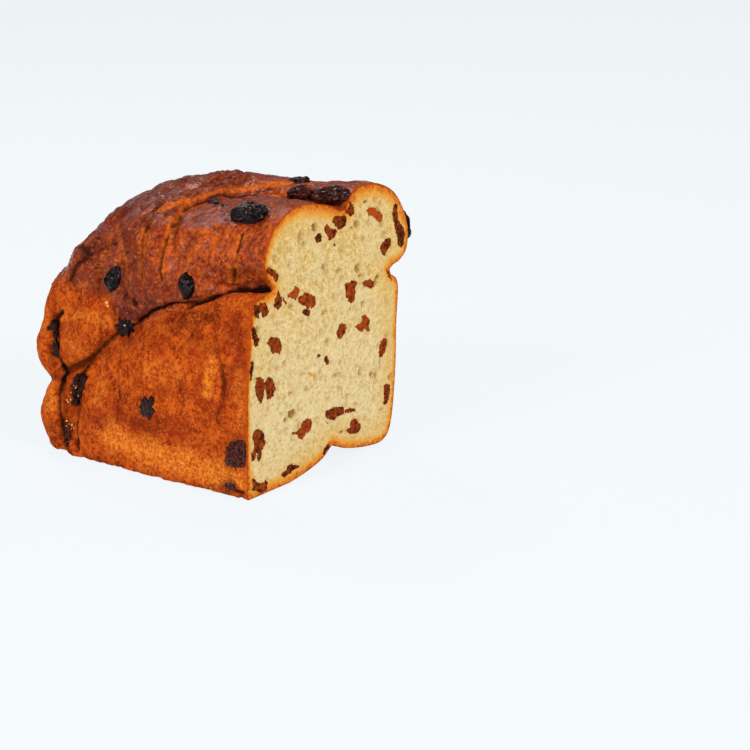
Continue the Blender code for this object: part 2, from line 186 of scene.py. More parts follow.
# Lesser folds that run round the strands
FOLDS = {
    "front_lobe": ([(-31, 8, 101), (-36, 12, 92), (-42, 12, 83)], 1.3, 4.0),
    "left_flank_a": ([(-30, 60, 102), (-40, 55, 96), (-46, 56, 86), (-48, 56, 74)], 1.8, 5.0),
    "left_flank_b": ([(-24, 72, 101), (-38, 73, 93), (-46, 76, 82), (-48, 80, 68)], 2.0, 5.0),
    "left_flank_c": ([(-10, 66, 107), (-24, 62, 105), (-36, 63, 98)], 1.6, 5.0),
    "ridge_a": ([(34, 22, 110), (20, 34, 110), (6, 58, 108), (-6, 66, 107)], 1.4, 5.0),
    "ridge_b": ([(44, 40, 103), (28, 54, 108), (12, 70, 108)], 1.4, 5.0),
    "right_flank_a": ([(53, 62, 88), (53, 54, 74), (51, 50, 60)], 1.6, 5.0),
    "right_flank_b": ([(46, 84, 92), (52, 78, 76), (51, 70, 58)], 1.8, 5.0),
    "right_wall": ([(50, 34, 70), (50.5, 30, 48), (50, 33, 30)], 1.2, 5.0),
    "left_wall": ([(-47, 63, 52), (-48, 66, 36), (-47.5, 67, 16)], 1.2, 4.0),
}

# Sharp lines on the crust that the photo shows: pixels, depth, reach, how dark the painted shade along it is,
# how wide that shade is
PHOTO_LINES = {
    "lobe_over_wall": ([(272, 292), (266, 290.5), (250, 289), (238, 289.5), (227, 293), (214, 297.5),
                        (200, 302), (187, 305.5), (174, 307), (160, 309), (149, 315), (139, 323)],
                       2.4, 3.0, 1.0, 0.9),
    "lobe_gap": ([(268, 290), (258, 288.5), (246, 288), (240, 288.5)], 1.0, 2.0, 1.0, 1.3),
    "wall_strand_back": ([(127, 330), (118, 335), (106, 345), (93, 359), (86, 370), (80, 380), (77, 400),
                          (76, 425), (78, 449)], 3.0, 5.0, 0.75, 1.0),
    "strand_v": ([(93, 357), (82, 364), (72, 369), (66, 373)], 1.6, 3.5, 0.75, 1.5),
    "lobe_back": ([(208, 199), (195, 203), (184.5, 209), (178, 218), (174, 223), (166.4, 238), (162, 253),
                   (159, 271), (160, 280)], 3.0, 5.0, 0.85, 0.6),
    "flank_b": ([(148, 226), (143, 238), (140.6, 255), (139.8, 278)], 2.3, 4.6, 0.72, 0.5),
    "flank_c": ([(120, 240), (120.2, 255), (123.6, 269), (125, 296)], 2.3, 4.6, 0.72, 0.5),
    "flank_d": ([(116, 226), (106.6, 248.5), (98, 269), (96.4, 288)], 3.2, 5.2, 0.85, 0.6),
    "flank_e": ([(90, 255), (94.7, 269)], 1.2, 3.0, 0.6, 0.6),
    "flank_f": ([(80, 290), (77, 305), (72, 315)], 0.9, 3.0, 0.4, 0.8),
    "shoulder": ([(80, 247), (86, 250), (91, 255), (80, 264), (74, 272), (71, 279)], 1.8, 4.0, 0.8, 1.4),
    "front_slit": ([(243, 233), (238.5, 249), (235.5, 263), (234, 280)], 2.0, 3.6, 0.9, 0.6),
    "front_slit_b": ([(220, 233), (213, 244), (205, 256), (201, 265)], 1.3, 3.6, 0.3, 0.6),
    "front_slit_c": ([(193, 236), (186, 246), (184, 262)], 1.1, 3.4, 0.3, 0.6),
    "front_slit_d": ([(231, 243), (228, 262), (229, 280)], 0.6, 2.2, 0.15, 0.6),
    "top_gap": ([(208, 199), (219, 195), (234, 196), (246, 199), (258, 202)], 1.6, 2.8, 0.7, 0.9),
    "rear_slit": ([(238, 196.5), (247, 194.5), (256, 193.5)], 1.0, 1.8, 0.7, 0.9),
    "rear_slit_b": ([(257, 191), (266, 189), (275, 187.5)], 1.0, 1.6, 0.7, 0.8),
    "top_front_valley": ([(268, 204), (279, 203), (290, 199), (303, 197)], 1.1, 2.4, 0.55, 0.9),
    "strand_b": ([(101.6, 315), (100.3, 330), (101, 340), (97, 352)], 0.9, 2.2, 0.5, 0.7),
    "strand_b_c": ([(71, 320), (70.5, 330), (73, 340), (80, 350)], 0.7, 2.2, 0.25, 0.5),
    "strand_b_e": ([(108, 322), (107, 334), (104, 344)], 0.8, 2.2, 0.3, 0.5),
    "strand_b_f": ([(90, 320), (88, 334), (91, 346)], 0.8, 2.2, 0.3, 0.5),
    "strand_b_d": ([(79, 318), (77, 328), (79, 338), (84, 346)], 0.7, 2.0, 0.3, 0.5),
    "left_gap": ([(62, 312), (57, 318), (57, 335), (57.5, 343), (57, 354), (62, 362), (65, 368), (63.5, 379),
                  (59, 396), (59, 408), (62, 423), (66, 442), (66, 458)], 2.2, 3.0, 0.9, 1.1),
    "left_gap_core": ([(64, 366), (65.5, 372), (63.5, 380)], 1.4, 2.0, 1.0, 1.8),
    "foot_slit": ([(77, 430), (78.5, 450)], 0.9, 1.6, 1.0, 1.0),
    "wall_crack": ([(124, 339), (118.7, 364), (119.5, 390), (116.5, 423)], 0.9, 2.6, 0.4, 0.7),
    "wall_crack_b": ([(196, 327), (191.4, 336), (186, 344)], 0.5, 1.5, 0.5, 0.6),
    "wall_oval": ([(216, 302), (216, 345), (220, 366), (223, 384), (222, 402), (215, 417), (204, 424)],
                  0.9, 4.0, 0.3, 1.0),
    "band_foot": ([(178, 200), (166, 203), (158, 209), (149, 216), (139, 225), (130, 232), (118, 240),
                   (106, 246), (92, 252)], 2.2, 4.5, 0.6, 0.7),
    "band_a": ([(178, 185), (163, 192), (152.6, 202), (145.7, 213), (139, 222)], 1.7, 3.0, 0.6, 0.6),
    "band_b": ([(154, 192), (147, 202), (139, 216), (130, 227), (120, 238)], 1.7, 3.0, 0.6, 0.6),
    "band_c": ([(122, 215), (112, 225), (103, 233), (95, 246), (88, 254)], 1.7, 3.0, 0.7, 0.6),
    "band_d": ([(196, 183), (212, 179), (232, 177)], 1.2, 2.4, 0.5, 0.6),
    "band_e": ([(188, 178), (206, 182), (222, 184), (236, 181)], 1.0, 2.4, 0.4, 0.5),
    "band_f": ([(137, 202), (128, 212), (119, 222)], 1.2, 2.6, 0.5, 0.6),
    "curl": ([(98, 226), (90, 232), (84, 240), (82, 248), (86, 252)], 1.8, 3.0, 0.8, 0.9),
    "lobe_skin": ([(196, 222), (205, 214), (218, 210)], 0.7, 2.4, 0.15, 0.5),
}

# Patches on the crust that the photo shows, by kind: pixels, half width, strength
PHOTO_PATCHES = {
    "torn": [
        ([(163, 211), (172, 204), (184, 201), (190, 202)], 3.0, 0.85),
        ([(175, 219), (170, 226)], 2.0, 0.9),
        ([(192, 200), (207, 195), (222, 192), (238, 190)], 1.3, 0.7),
        ([(237, 190), (250, 187), (268, 184), (287, 183)], 1.9, 0.8),
        ([(274, 196), (284, 195), (290, 191)], 1.8, 0.8),
        ([(120, 232), (121, 250), (125, 268), (126, 290)], 1.5, 0.8),
        ([(148, 234), (150, 243)], 1.8, 0.7),
        ([(146, 230), (142, 242), (140, 256), (139.5, 276)], 1.5, 0.85),
        ([(117, 226), (107, 248), (99, 268), (96, 284)], 1.6, 0.9),
        ([(183, 210), (177, 218)], 2.0, 0.9),
        ([(173, 224), (166, 243), (162, 260), (160, 280)], 1.6, 0.9),
        ([(188, 251), (187, 261)], 1.5, 0.7),
        ([(194, 231), (199, 229), (205, 232)], 2.0, 0.5),
        ([(219, 234), (213, 244), (206, 255), (202, 264)], 0.7, 0.8),
        ([(229, 264), (229.5, 281)], 1.2, 0.9),
        ([(241, 236), (236, 256), (234, 280)], 1.4, 0.8),
        ([(276, 213), (270, 232), (266, 250), (265, 268), (270, 286)], 0.9, 0.7),
        ([(251, 318), (250, 345), (248, 372), (247, 420), (246, 470)], 1.0, 0.6),
        ([(272, 294), (262, 296), (252, 299), (243, 303)], 1.7, 0.8),
        ([(230, 303), (245, 308), (248, 316)], 1.6, 0.45),
        ([(60, 313), (75, 315), (92, 318), (108, 322)], 3.4, 0.8),
        ([(68, 330), (70, 350), (76, 360)], 3.5, 0.4),
        ([(47, 312), (44, 330)], 2.5, 0.7),
    ],
    # Painted shade in pits, hollows and under the curls
    "painted_shade": [
        ([(84, 238), (83, 246)], 1.8, 0.8),
        ([(96, 226), (102, 222)], 1.6, 0.7),
        ([(127.9, 252.4), (128, 253)], 0.7, 1.0),
        ([(136, 300), (137, 303)], 1.0, 0.9),
        ([(124.5, 296), (124.6, 297)], 0.6, 0.8),
        ([(165, 215), (166, 215.6)], 0.8, 0.9),
        ([(188, 177.5), (184, 178.5)], 1.0, 0.8),
        ([(244, 496), (236, 494)], 0.9, 0.9),
        ([(98, 457.5), (99, 458)], 0.8, 0.8),
        ([(117, 462), (118, 462.3)], 0.8, 0.8),
        ([(104, 352), (90, 364)], 1.6, 0.4),
    ],
    # Burnt crust, and painted shade in valleys and under the lobes
    "burn_and_shade": [
        ([(72, 274), (75, 283)], 3.0, 0.6),
        ([(240, 284), (250, 284.5), (262, 286)], 1.6, 0.6),
        ([(212, 291), (190, 300), (165, 304)], 2.4, 0.6),
        ([(150, 305), (135, 314), (118, 312)], 4.0, 0.85),
        ([(223, 209), (227, 214), (229, 221)], 2.2, 0.8),
        ([(121, 232), (112, 240), (104, 252)], 1.8, 0.4),
        ([(150, 272), (158, 262)], 3.0, 0.4),
        ([(223.6, 368), (224, 396)], 1.7, 0.75),
        ([(226, 372), (240, 364)], 1.8, 0.5),
        ([(181, 384), (182, 391)], 2.2, 0.6),
        ([(230, 330), (234, 340)], 3.4, 0.5),
        ([(128, 296), (160, 294), (190, 290)], 6.0, 0.55),
        ([(104, 284), (132, 276), (160, 284)], 6.0, 0.5),
        ([(128, 236), (133, 252), (132, 268)], 3.2, 0.55),
        ([(108, 240), (100, 252)], 3.0, 0.5),
        ([(196, 272), (215, 276), (236, 276)], 5.0, 0.4),
        ([(198, 214), (196, 232), (186, 250)], 3.0, 0.35),
        ([(252, 214), (262, 232), (262, 256), (262, 276)], 3.0, 0.4),
        ([(150, 194), (132, 208), (112, 222)], 5.0, 0.55),
        ([(186, 176), (210, 172), (236, 174)], 5.0, 0.55),
        ([(212, 207), (232, 203), (250, 204)], 3.0, 0.35),
        ([(153, 236), (150, 262)], 5.0, 0.4),
        ([(50, 426), (56, 438)], 3.6, 0.55),
        ([(140, 345), (150, 336), (165, 328)], 4.0, 0.35),
        ([(238, 316), (240, 350)], 2.4, 0.35),
        ([(172, 322), (190, 318), (212, 317)], 4.0, 0.8),
        ([(190, 334), (205, 340), (214, 350)], 3.0, 0.4),
        ([(99, 419), (100, 424)], 2.4, 0.5),
        ([(128, 420), (147, 426), (158, 424)], 3.2, 0.5),
        ([(112, 378), (121, 398), (124, 402)], 2.4, 0.5),
        ([(217, 420), (219, 424)], 1.2, 0.8),
        ([(168, 443), (168.5, 444)], 1.0, 0.8),
        ([(210, 488), (222, 492)], 1.2, 0.6),
    ],
    "pale": [
        ([(212, 362), (208, 378), (207, 394)], 2.6, 0.7),
        ([(112, 438), (150, 453), (190, 465), (225, 477)], 5.5, 0.8),
        ([(150, 372), (165, 376), (176, 372)], 5.0, 0.3),
        ([(238, 480), (250, 488)], 3.4, 0.9),
        ([(238, 376), (240, 400), (240, 430)], 3.0, 0.3),
        ([(62, 317), (75, 315), (92, 317), (106, 322)], 1.8, 0.7),
        ([(72, 344), (80, 352)], 3.0, 0.5),
        ([(50, 385), (48, 402)], 4.0, 0.6),
        ([(103, 380), (98, 400)], 3.0, 0.4),
    ],
}

# The rear strand: two pixels that give the way it twists, where it begins and how softly
TWIST_PIXELS = ((178, 185), (120, 240))
TWIST_START = 46
TWIST_FADE = 12

# Border between the glossy roof and the tin-baked sides: y, then z on the left and on the right
ROOF_BORDER_Y = [0, 10, 20, 38, 55, 61, 68, 85, 100, 117]
ROOF_BORDER_LEFT = [80, 80, 77, 69, 61, 60, 69, 72, 72, 70]
ROOF_BORDER_RIGHT = [73, 75, 78, 80, 76, 74, 73, 74, 74, 72]

# How thick the baked rim is on the cut face: (x, z) of a place on the outline, thickness
RIM_WIDTHS = [
    (-47, 3, 2.6), (-46, 12, 1.2), (-46, 40, 0.9), (-43, 68, 1.1), (-40, 78, 2.6), (-31, 81, 3.4),
    (-34, 92, 1.7), (-25, 106, 2.6), (-12, 110, 3.4), (4, 107, 3.6), (13, 105, 2.6), (24, 111, 3.6),
    (37, 111, 3.8), (50, 104, 3.0), (57, 90, 2.2), (50, 76, 2.4), (47, 73, 2.4), (51, 60, 1.5),
    (50, 30, 1.4), (46, 8, 1.8), (35, 1.5, 2.2), (12, 5, 2.4), (6.6, 7.6, 2.4), (-6, 2.4, 2.6),
    (-28, 0, 2.8),
]

# Raisins that the cut shows: tone from 0 (nearly black) to 1 (orange), outline pixels
CUT_RAISINS = {
    "cut_lobe_left": (0.35, [
        (268.5, 270), (271.2, 268.6), (274.9, 271), (277.7, 273.8), (278.6, 277.5), (277.3, 281),
        (275.8, 281.7), (274, 279.3), (272, 276.5), (269.4, 273.8)]),
    "cut_notch": (0.25, [
        (277.7, 291.2), (279.5, 293), (281.9, 298.6), (281.9, 304), (280.4, 306.8), (278.6, 310.5),
        (276.7, 308.7), (274.9, 304), (275.8, 298.6), (277.3, 295)]),
    "cut_torn": (0.8, [
        (295, 285.7), (297.9, 287.6), (299.7, 290.3), (298.4, 295), (296.6, 298.6), (293.3, 299.5),
        (290.5, 296.7), (287.8, 298.2), (287.4, 295.8), (290.5, 294), (293.3, 291.2), (294.8, 288.5)]),
    "cut_heart": (0.6, [
        (298.4, 298.6), (300.6, 296.7), (303.4, 295), (304.7, 292.2), (306, 293.4), (308.3, 292.7),
        (310.2, 295), (312.6, 295.5), (314.9, 297.7), (315.7, 301.3), (314.9, 306), (312.6, 308),
        (310.7, 306.8), (308.3, 308.7), (306, 306.8), (303.4, 305), (299.7, 302.6)]),
    "cut_corner_outer": (0.15, [
        (251.4, 305), (253.8, 303.5), (256.5, 304), (258.4, 306.8), (258, 310.5), (256.5, 313.3),
        (256.2, 317), (253.8, 316), (251.6, 312.4)]),
    "cut_corner_inner": (0.35, [
        (259.8, 303.7), (263, 303.5), (266.6, 303.7), (268.5, 306.8), (268.8, 312.4), (267.2, 316),
        (264, 317.3), (261.7, 316), (262, 313.3), (259.8, 311.4), (258.7, 308.7)]),
    "cut_right_upper": (0.5, [
        (345.6, 284.3), (349.3, 282.4), (352, 280.8), (356.6, 281.7), (356.8, 284.8), (355.4, 287.6),
        (356, 293), (355.4, 296.7), (354.3, 301.3), (351, 302.6), (348.7, 302.3), (348.4, 298.6),
        (346.2, 295.8), (346, 290.3)]),
    "cut_right_flat": (0.65, [
        (363, 282.4), (366.7, 280.6), (369.5, 279.7), (373.2, 280.6), (374.6, 283.5), (374, 286.6),
        (370.8, 287.9), (368.6, 286.6), (365.8, 286), (363.4, 284.3)]),
    "cut_right_star": (0.65, [
        (362.2, 316), (365.8, 315), (367, 317), (369.5, 318.8), (370, 323.4), (368.6, 326), (370, 330.7),
        (367.7, 331.6), (365, 329), (362.2, 330.7), (360.3, 331.6), (358.5, 329.8), (356, 327),
        (357.6, 324.7), (360.3, 324.3), (362.7, 322.5), (363.4, 319.2)]),
    "cut_middle_right": (0.5, [
        (340, 324.8), (343.2, 324), (346.2, 325.2), (346.5, 329), (345, 332.6), (343.2, 335.3),
        (340.7, 338.6), (337.7, 338), (337, 334.4), (337.4, 330.7), (338.8, 328)]),
    "cut_lobe_right": (0.3, [
        (386, 239.4), (389.2, 238.3), (391, 239.8), (391, 244.4), (389.2, 248), (387, 251.7), (384.7, 255),
        (383, 253.6), (381, 250), (381.4, 245.3), (383.6, 242)]),
    "cut_rim_upper": (0.2, [
        (394, 205.8), (395.8, 203.4), (397.6, 205.8), (397.6, 213.2), (398, 218), (396.5, 222.3),
        (394, 221.4), (392.8, 216), (393.4, 210.4)]),
    "cut_rim_right": (0.1, [
        (395.2, 221.4), (398.3, 220), (400.7, 224.2), (404, 229.7), (404.8, 234.3), (404, 240.7),
        (402.6, 245.7), (399.8, 246.8), (398, 242.6), (397.2, 236), (395.8, 229.7), (394.7, 225)]),
    "cut_orange": (1.0, [
        (368, 209.5), (370.8, 207.7), (374, 208.2), (376.8, 210.8), (380.5, 213.2), (382.7, 216.8),
        (381.8, 221), (378.7, 221.8), (376, 219.6), (373.7, 216), (370.4, 214), (368, 212.2)]),
    "cut_valley_top": (0.2, [
        (350.2, 202), (352.4, 204), (354, 207.7), (354, 213.2), (351, 216), (348.4, 214), (346.2, 213.2),
        (344.7, 211.3), (347.5, 209.5), (349.3, 206.7)]),
    "cut_valley_middle": (0.3, [
        (333.7, 218), (337.4, 216), (341, 216.3), (344.3, 215), (347, 218), (346.2, 223.3), (343.8, 227),
        (340, 228.8), (337, 227.3), (335.5, 224.2), (333, 221.4)]),
    "cut_valley_lower": (0.4, [
        (325.4, 226), (327.3, 223.6), (329, 227), (332.8, 229), (337, 230.3), (336.4, 233.4), (334.6, 236),
        (331.5, 239.4), (328.2, 238.3), (326.7, 234.3), (325, 230.6)]),
    "cut_valley_end": (0.15, [
        (317, 234), (320, 233.4), (321.7, 235.8), (321.4, 239.4), (320.5, 242.6), (317.5, 243),
        (316, 240.7), (316.2, 237)]),
    "cut_edge_upper": (0.1, [
        (248.5, 324.7), (250.2, 323.6), (253, 325.8), (254, 329), (255.7, 332.4), (257, 335.7),
        (256.8, 340), (255.7, 343), (253.5, 343), (251.8, 340.7), (250.7, 336.8), (250, 332.4),
        (250.2, 329)]),
    "cut_left_middle": (0.5, [
        (270, 338.5), (272.7, 337.7), (277, 338), (280.4, 340), (281, 344), (282.3, 347.3), (281.5, 351),
        (280, 354), (277, 352.8), (273.8, 353), (271, 350.6), (270, 347.3), (267.8, 344), (268.3, 341.2)]),
    "cut_speck": (0.4, [
        (325, 357.6), (326.7, 356.6), (328.2, 359.4), (329.3, 363), (328.2, 365.3), (326.3, 364),
        (325, 361.2)]),
    "cut_edge_middle": (0.0, [
        (248.5, 363.2), (249.6, 363), (250.2, 365.4), (250.5, 369.8), (249.6, 373), (249, 377.5),
        (248.3, 381.4), (247.2, 380.8), (247, 376.4), (246.5, 372), (247.4, 368.7), (248, 365.4)]),
    "cut_pair_left": (0.4, [
        (257.5, 378), (260.2, 377.2), (263, 378.7), (264.2, 382.4), (264.4, 390.6), (263.5, 397),
        (261.7, 402.6), (259.3, 402.6), (258, 399), (256.5, 394.3), (255.8, 388.8), (256.2, 382.4)]),
    "cut_pair_right": (0.4, [
        (266.6, 378.7), (268.5, 376.8), (272, 378), (274, 381.4), (275.3, 386), (275.5, 390.6),
        (273.4, 395.2), (270.3, 399), (268, 399.4), (266.6, 395.2), (265.7, 389.7), (265.3, 383.3)]),
    "cut_wall_middle": (0.5, [
        (383.3, 339.6), (385.7, 338.8), (387, 341), (386.4, 346.5), (384.7, 352), (382.4, 356.3),
        (380, 356.6), (378.7, 353), (379.2, 349.3), (380.5, 345.6), (381.4, 342)]),
    "cut_wall_lower": (0.3, [
        (385, 385), (388, 384.2), (390, 385), (390.3, 390.6), (389.2, 397), (388, 402.6), (385.5, 404.4),
        (383.6, 403.5), (383.8, 399), (384.2, 393.4), (384.2, 388.8)]),
    "cut_long": (0.35, [
        (326.7, 411.7), (330, 410), (333.7, 408), (338.3, 407), (342, 406.6), (344.3, 409), (343.8, 413.6),
        (340.7, 415.4), (337.4, 416.7), (334.6, 419), (330, 419), (327, 417.8), (326, 415)]),
    "cut_base_right": (0.35, [
        (350.2, 422.8), (354, 420), (356.6, 419), (358.5, 421.8), (360.7, 425.5), (360.3, 429.2),
        (357.6, 433), (354, 434.3), (350.2, 434.3), (347.8, 432), (348, 429.2), (350.2, 427.4)]),
    "cut_slanted": (0.6, [
        (295, 432), (298.8, 431), (301.5, 428.3), (302.5, 424.6), (304.3, 421), (308, 419), (311.3, 420),
        (312, 423.7), (310.7, 429.2), (307.6, 432), (304.7, 435.6), (302.5, 438.4), (298.8, 438),
        (297.3, 434.7), (293.3, 433.8), (292, 432.5)]),
    "cut_tall": (0.35, [
        (253.5, 432.4), (256.8, 430.2), (261.2, 430.7), (264, 434), (265.3, 439.5), (265, 445),
        (263.4, 449), (261.7, 452.7), (261.2, 458.2), (259.5, 460.4), (257.3, 460.2), (258, 455),
        (256.8, 452.7), (255.7, 456), (255, 459.3), (253, 460.4), (251.8, 457), (253.5, 451.6),
        (254, 447.2), (253.5, 441.7), (252.7, 437.3)]),
    "cut_seam": (0.1, [
        (328.2, 448.5), (331, 447.2), (331.5, 450.3), (329.6, 454), (327.3, 456.7), (325, 456.4),
        (326, 452.2)]),
    "cut_hollow": (0.15, [
        (282.2, 475), (284, 471.4), (286.8, 469.6), (288, 466), (292.4, 464.5), (297, 465), (299, 467),
        (296, 468.7), (293.3, 470.5), (289.6, 473), (286, 476), (283.2, 476.6)]),
    "cut_base_left": (0.35, [
        (255, 483.5), (256.8, 483), (258.4, 485.2), (261.2, 486.8), (264, 487.4), (266, 485.7),
        (268.3, 484), (269.4, 485.7), (269.4, 489), (268.3, 492.3), (266, 495), (262.8, 495.4),
        (259.5, 495), (256.8, 494), (255, 492.3), (254.6, 488)]),
}

# Small bits on the cut face that have no solid of their own: tone, outline pixels
CUT_BITS = {
    "bit_heart_tail": (0.0, [
        (303.4, 309.6), (306, 308.6), (309, 309.6), (310.7, 311.4), (309.8, 315), (307, 316),
        (304.3, 314.7), (302.5, 312.4)]),
    "bit_long_tail": (0.35, [
        (345, 410), (347.5, 408.6), (351, 407.5), (355.4, 408.6), (356, 410.8), (353, 412.3), (349.3, 413),
        (345.6, 413)]),
    "bit_notch_side": (0.4, [
        (282.8, 295.8), (284, 296.7), (285, 299.5), (287.4, 302.2), (286.3, 306), (284.6, 303.2),
        (282.8, 299.5)]),
    "bit_upper_speck": (0.3, [(333.6, 244), (335.5, 243.6), (335.8, 246), (334.6, 247.4), (333.2, 246)]),
    "bit_notch_right": (0.4, [
        (386.5, 269), (389, 271), (391, 276), (393, 281), (391, 280.5), (388.5, 275.5), (386.6, 272)]),
    "bit_long_foot": (0.4, [(325, 423), (328.5, 422.2), (328.7, 424), (326, 424.8)]),
    "bit_left_speck": (0.5, [(319, 354.6), (320.8, 354.6), (320.8, 357), (319.4, 357)]),
    "bit_zest": (1.5, [(307.5, 372.6), (311, 373), (315.5, 375), (315.6, 376.6), (312, 375.6), (308, 374.4)]),
    "bit_wall_zest": (1.3, [(379.4, 408.4), (381.6, 408.2), (381.6, 410.6), (379.6, 410.8)]),
}

# Baked raisins on the left side and the top: how far each stands proud, outline pixels
BAKED_OUTLINES = {
    "gap_upper": (1.0, [
        (47, 328), (49.8, 325), (51.6, 321), (55, 319.4), (58.4, 320.7), (58.8, 325), (58, 329.7),
        (59, 334), (58.4, 338), (55, 338.7), (53.4, 335), (53.7, 330.6), (50.7, 328.8), (48, 330)]),
    "gap_lower": (1.0, [
        (54.3, 341), (57, 340.5), (58.8, 344), (58.4, 348.6), (59.7, 353), (58.8, 355.4), (55.5, 355.8),
        (53.4, 354), (54.3, 349.5), (52.5, 347.7), (53.4, 344)]),
    "crease_star": (1.1, [
        (115.1, 325.6), (118.6, 323.4), (119.8, 318.6), (122.6, 320.2), (125.3, 317.5), (127.4, 320.6),
        (131, 320), (130.6, 322.8), (136.4, 323.6), (133, 327.2), (134.2, 330.9), (130.4, 331.2),
        (128.6, 336.6), (125.4, 333.4), (121.4, 335.8), (121.4, 331.6), (117.3, 330.4), (118.8, 327.6)]),
    "side_back": (0.9, [
        (77, 374), (82, 372.8), (84, 374.6), (87.6, 376.4), (86, 381), (84, 384.5), (84.3, 389),
        (82, 391.7), (81.3, 396), (79.5, 398), (78.6, 402.5), (76, 404.7), (72.3, 404.3), (71.7, 401.6),
        (74, 399), (71, 393.5), (73.2, 390.8), (70.5, 387.2), (72.8, 383.6), (73.5, 378.2)]),
    "gap_foot": (0.3, [
        (65, 424), (67.8, 422.8), (70, 426), (71, 433), (70, 439.4), (68, 443.5), (65.6, 444),
        (64.5, 438.5), (65.6, 432.2)]),
    "side_middle": (0.7, [
        (140.5, 405), (142.6, 398.7), (145.8, 397), (148, 399.8), (150, 396.6), (153.5, 397), (154.2, 403),
        (152, 407), (154.8, 410.3), (153, 414.5), (150.6, 417.6), (149.3, 419.7), (146.8, 416.6),
        (143.7, 415.5), (140.5, 413.4), (141.6, 409.2), (139.5, 407)]),
    "side_corner": (0.7, [
        (227, 447), (230.8, 443), (235, 441.2), (239.2, 440.3), (243, 440.3), (245.6, 443), (246.4, 451.3),
        (246.4, 459.7), (245, 465.5), (241, 467.6), (236, 467.6), (230.8, 467), (226.6, 465), (225, 459.7),
        (227.7, 454.4), (226.2, 450.2)]),
    "side_foot": (0.3, [
        (225, 485), (227.7, 482.8), (232, 483.2), (235, 486), (234.6, 489), (230.8, 490), (226.6, 489)]),
    "flank_back": (1.5, [
        (110, 270.6), (113.4, 267.2), (117.7, 266.7), (120.2, 269.8), (121, 275.7), (120, 281.7),
        (117.7, 286.8), (114.3, 289.7), (111, 291), (108, 287.7), (105.4, 283.4), (105.7, 278.3),
        (107.4, 273.7)]),
    "flank_front": (1.5, [
        (180.6, 277.3), (183.6, 274), (186.6, 273.2), (189.2, 275.8), (192.6, 279.6), (194.4, 285.6),
        (193.6, 291.5), (191.6, 295.3), (188, 298.3), (185, 298.3), (182.6, 294.5), (180, 290),
        (178.4, 284.8)]),
    "top_slit": (0.1, [
        (208.3, 200.4), (212, 200), (216.8, 201), (221, 202.6), (225, 203.4), (230.7, 204.6), (228.5, 207),
        (225.6, 207.2), (221.5, 205.6), (216, 205), (212, 203.4)]),
}

# Larger pores of the crumb: pixel, width, height, depth
PORES = [
    (301, 237, 5.5, 7, 0.7), (325, 267, 4.5, 4, 0.8), (339, 271, 4, 4.5, 0.7), (358, 268, 5, 5, 1.0),
    (361, 276, 4.5, 3, 0.8), (357, 224, 5, 4, 0.9), (315, 228, 4, 4.5, 1.3), (275, 260, 3.5, 5, 0.6),
    (376, 281, 4, 4, 0.9), (289, 265, 2, 3.5, 0.8), (258, 329, 3, 4, 1.0), (303, 374, 6, 2.2, 0.5),
    (337, 375, 8, 2.2, 0.7), (376, 375, 2.4, 9, 0.8), (292, 393, 3, 2.5, 0.7), (347, 396, 4, 2.2, 0.6),
    (292, 414, 5.5, 4, 1.6), (270, 243, 3, 4, 0.5), (378, 210, 5, 4, 0.6), (340, 363, 3, 3, 0.6),
    (363, 305, 2.2, 3, 0.8), (351, 309, 2, 2.4, 0.8), (309, 318, 3, 3, 0.4), (386, 300, 2.4, 5, 0.6),
    (288, 351, 2, 6, 0.4), (342, 432, 2.8, 1.8, 1.8), (308, 356, 2, 2, 0.7), (319, 356, 2.2, 2.4, 1.0),
    (354.5, 199, 1.6, 4, 2.0), (314, 226, 3.2, 2.4, 1.8), (363, 303, 2.4, 2.4, 1.0), (378, 277, 3, 2.4, 1.2),
    (370, 215, 2.4, 1.6, 1.0), (366, 202, 3.4, 1.8, 1.1), (380, 203, 2.4, 2.4, 0.8), (368, 222, 2, 2.2, 0.8),
    (353, 228, 3, 2, 1.0), (286, 420, 3.2, 2.4, 1.4), (380, 363, 1.4, 6, 1.1), (374, 385, 1.4, 5, 0.7),
]
PORE_COUNT = 2400
PORE_SEED = 11
CRUMB_SEED = 12
GRID_SEED = 5

# How far the painted shade and burn round a baked raisin reach on the crust, and how far its edge lies under
# the crust
HALO = 2.6
SUNK_EDGE = 0.45

# Mesh step of the raisins, and how far behind their front their back lies
RAISIN_STEP = 0.34
RAISIN_BACK = -3.0

# How far a cut raisin stays inside the rim, and how much wider it and a small bit are than they show
RAISIN_MARGIN = 0.3
RAISIN_GROWTH = 0.26
BIT_GROWTH = 0.0

# How far inside a cut raisin's edge the crumb opens, and how deep
POCKET_INSET = 0.22
POCKET_DEPTH = 1.6

# How a whole raisin on the crust differs from its solid: length, thickness, (x, y, z) shift
WHOLE_SHAPES = {
    "valley_front": (1.5, 1.2, (0.2, -0.2, 1.2)),
    "valley_back": (1.06, 1.3, (-1.2, 1.5, 1.9)),
    "ridge": (1.6, 1.0, (-1.1, 1.4, -0.6)),
    "top_front": (1.03, 1.18, (0, 0, -0.3)),
    "lobe_outer": (1.6, 1.25, (0.3, 0, -0.3)),
}

# How brown some baked raisins are; the others are nearly black
BROWN_RAISINS = {
    "side_corner": 1.0, "gap_foot": 1.0, "side_foot": 0.8, "side_middle": 0.2, "side_back": 0.25,
    "valley_front": 0.6, "valley_back": 0.8, "gap_upper": 0.3, "gap_lower": 0.2, "ridge": 0.3,
}

# Loose crumbs stuck to the crust and its raisins: pixel, radius
STUCK_CRUMBS = [
    (124.7, 325.3, 0.42), (75.6, 387.7, 0.36), (76.2, 386.4, 0.26), (71.2, 392.6, 0.34), (78.4, 395.8, 0.32),
    (70.9, 399.6, 0.4), (67, 400, 0.42), (68.5, 402, 0.3), (67, 421, 0.45), (69, 424, 0.4), (72.5, 425, 0.5),
    (74, 428, 0.4), (71, 429, 0.35), (66.5, 426, 0.3), (107, 303, 0.7), (108, 306, 0.5),
]

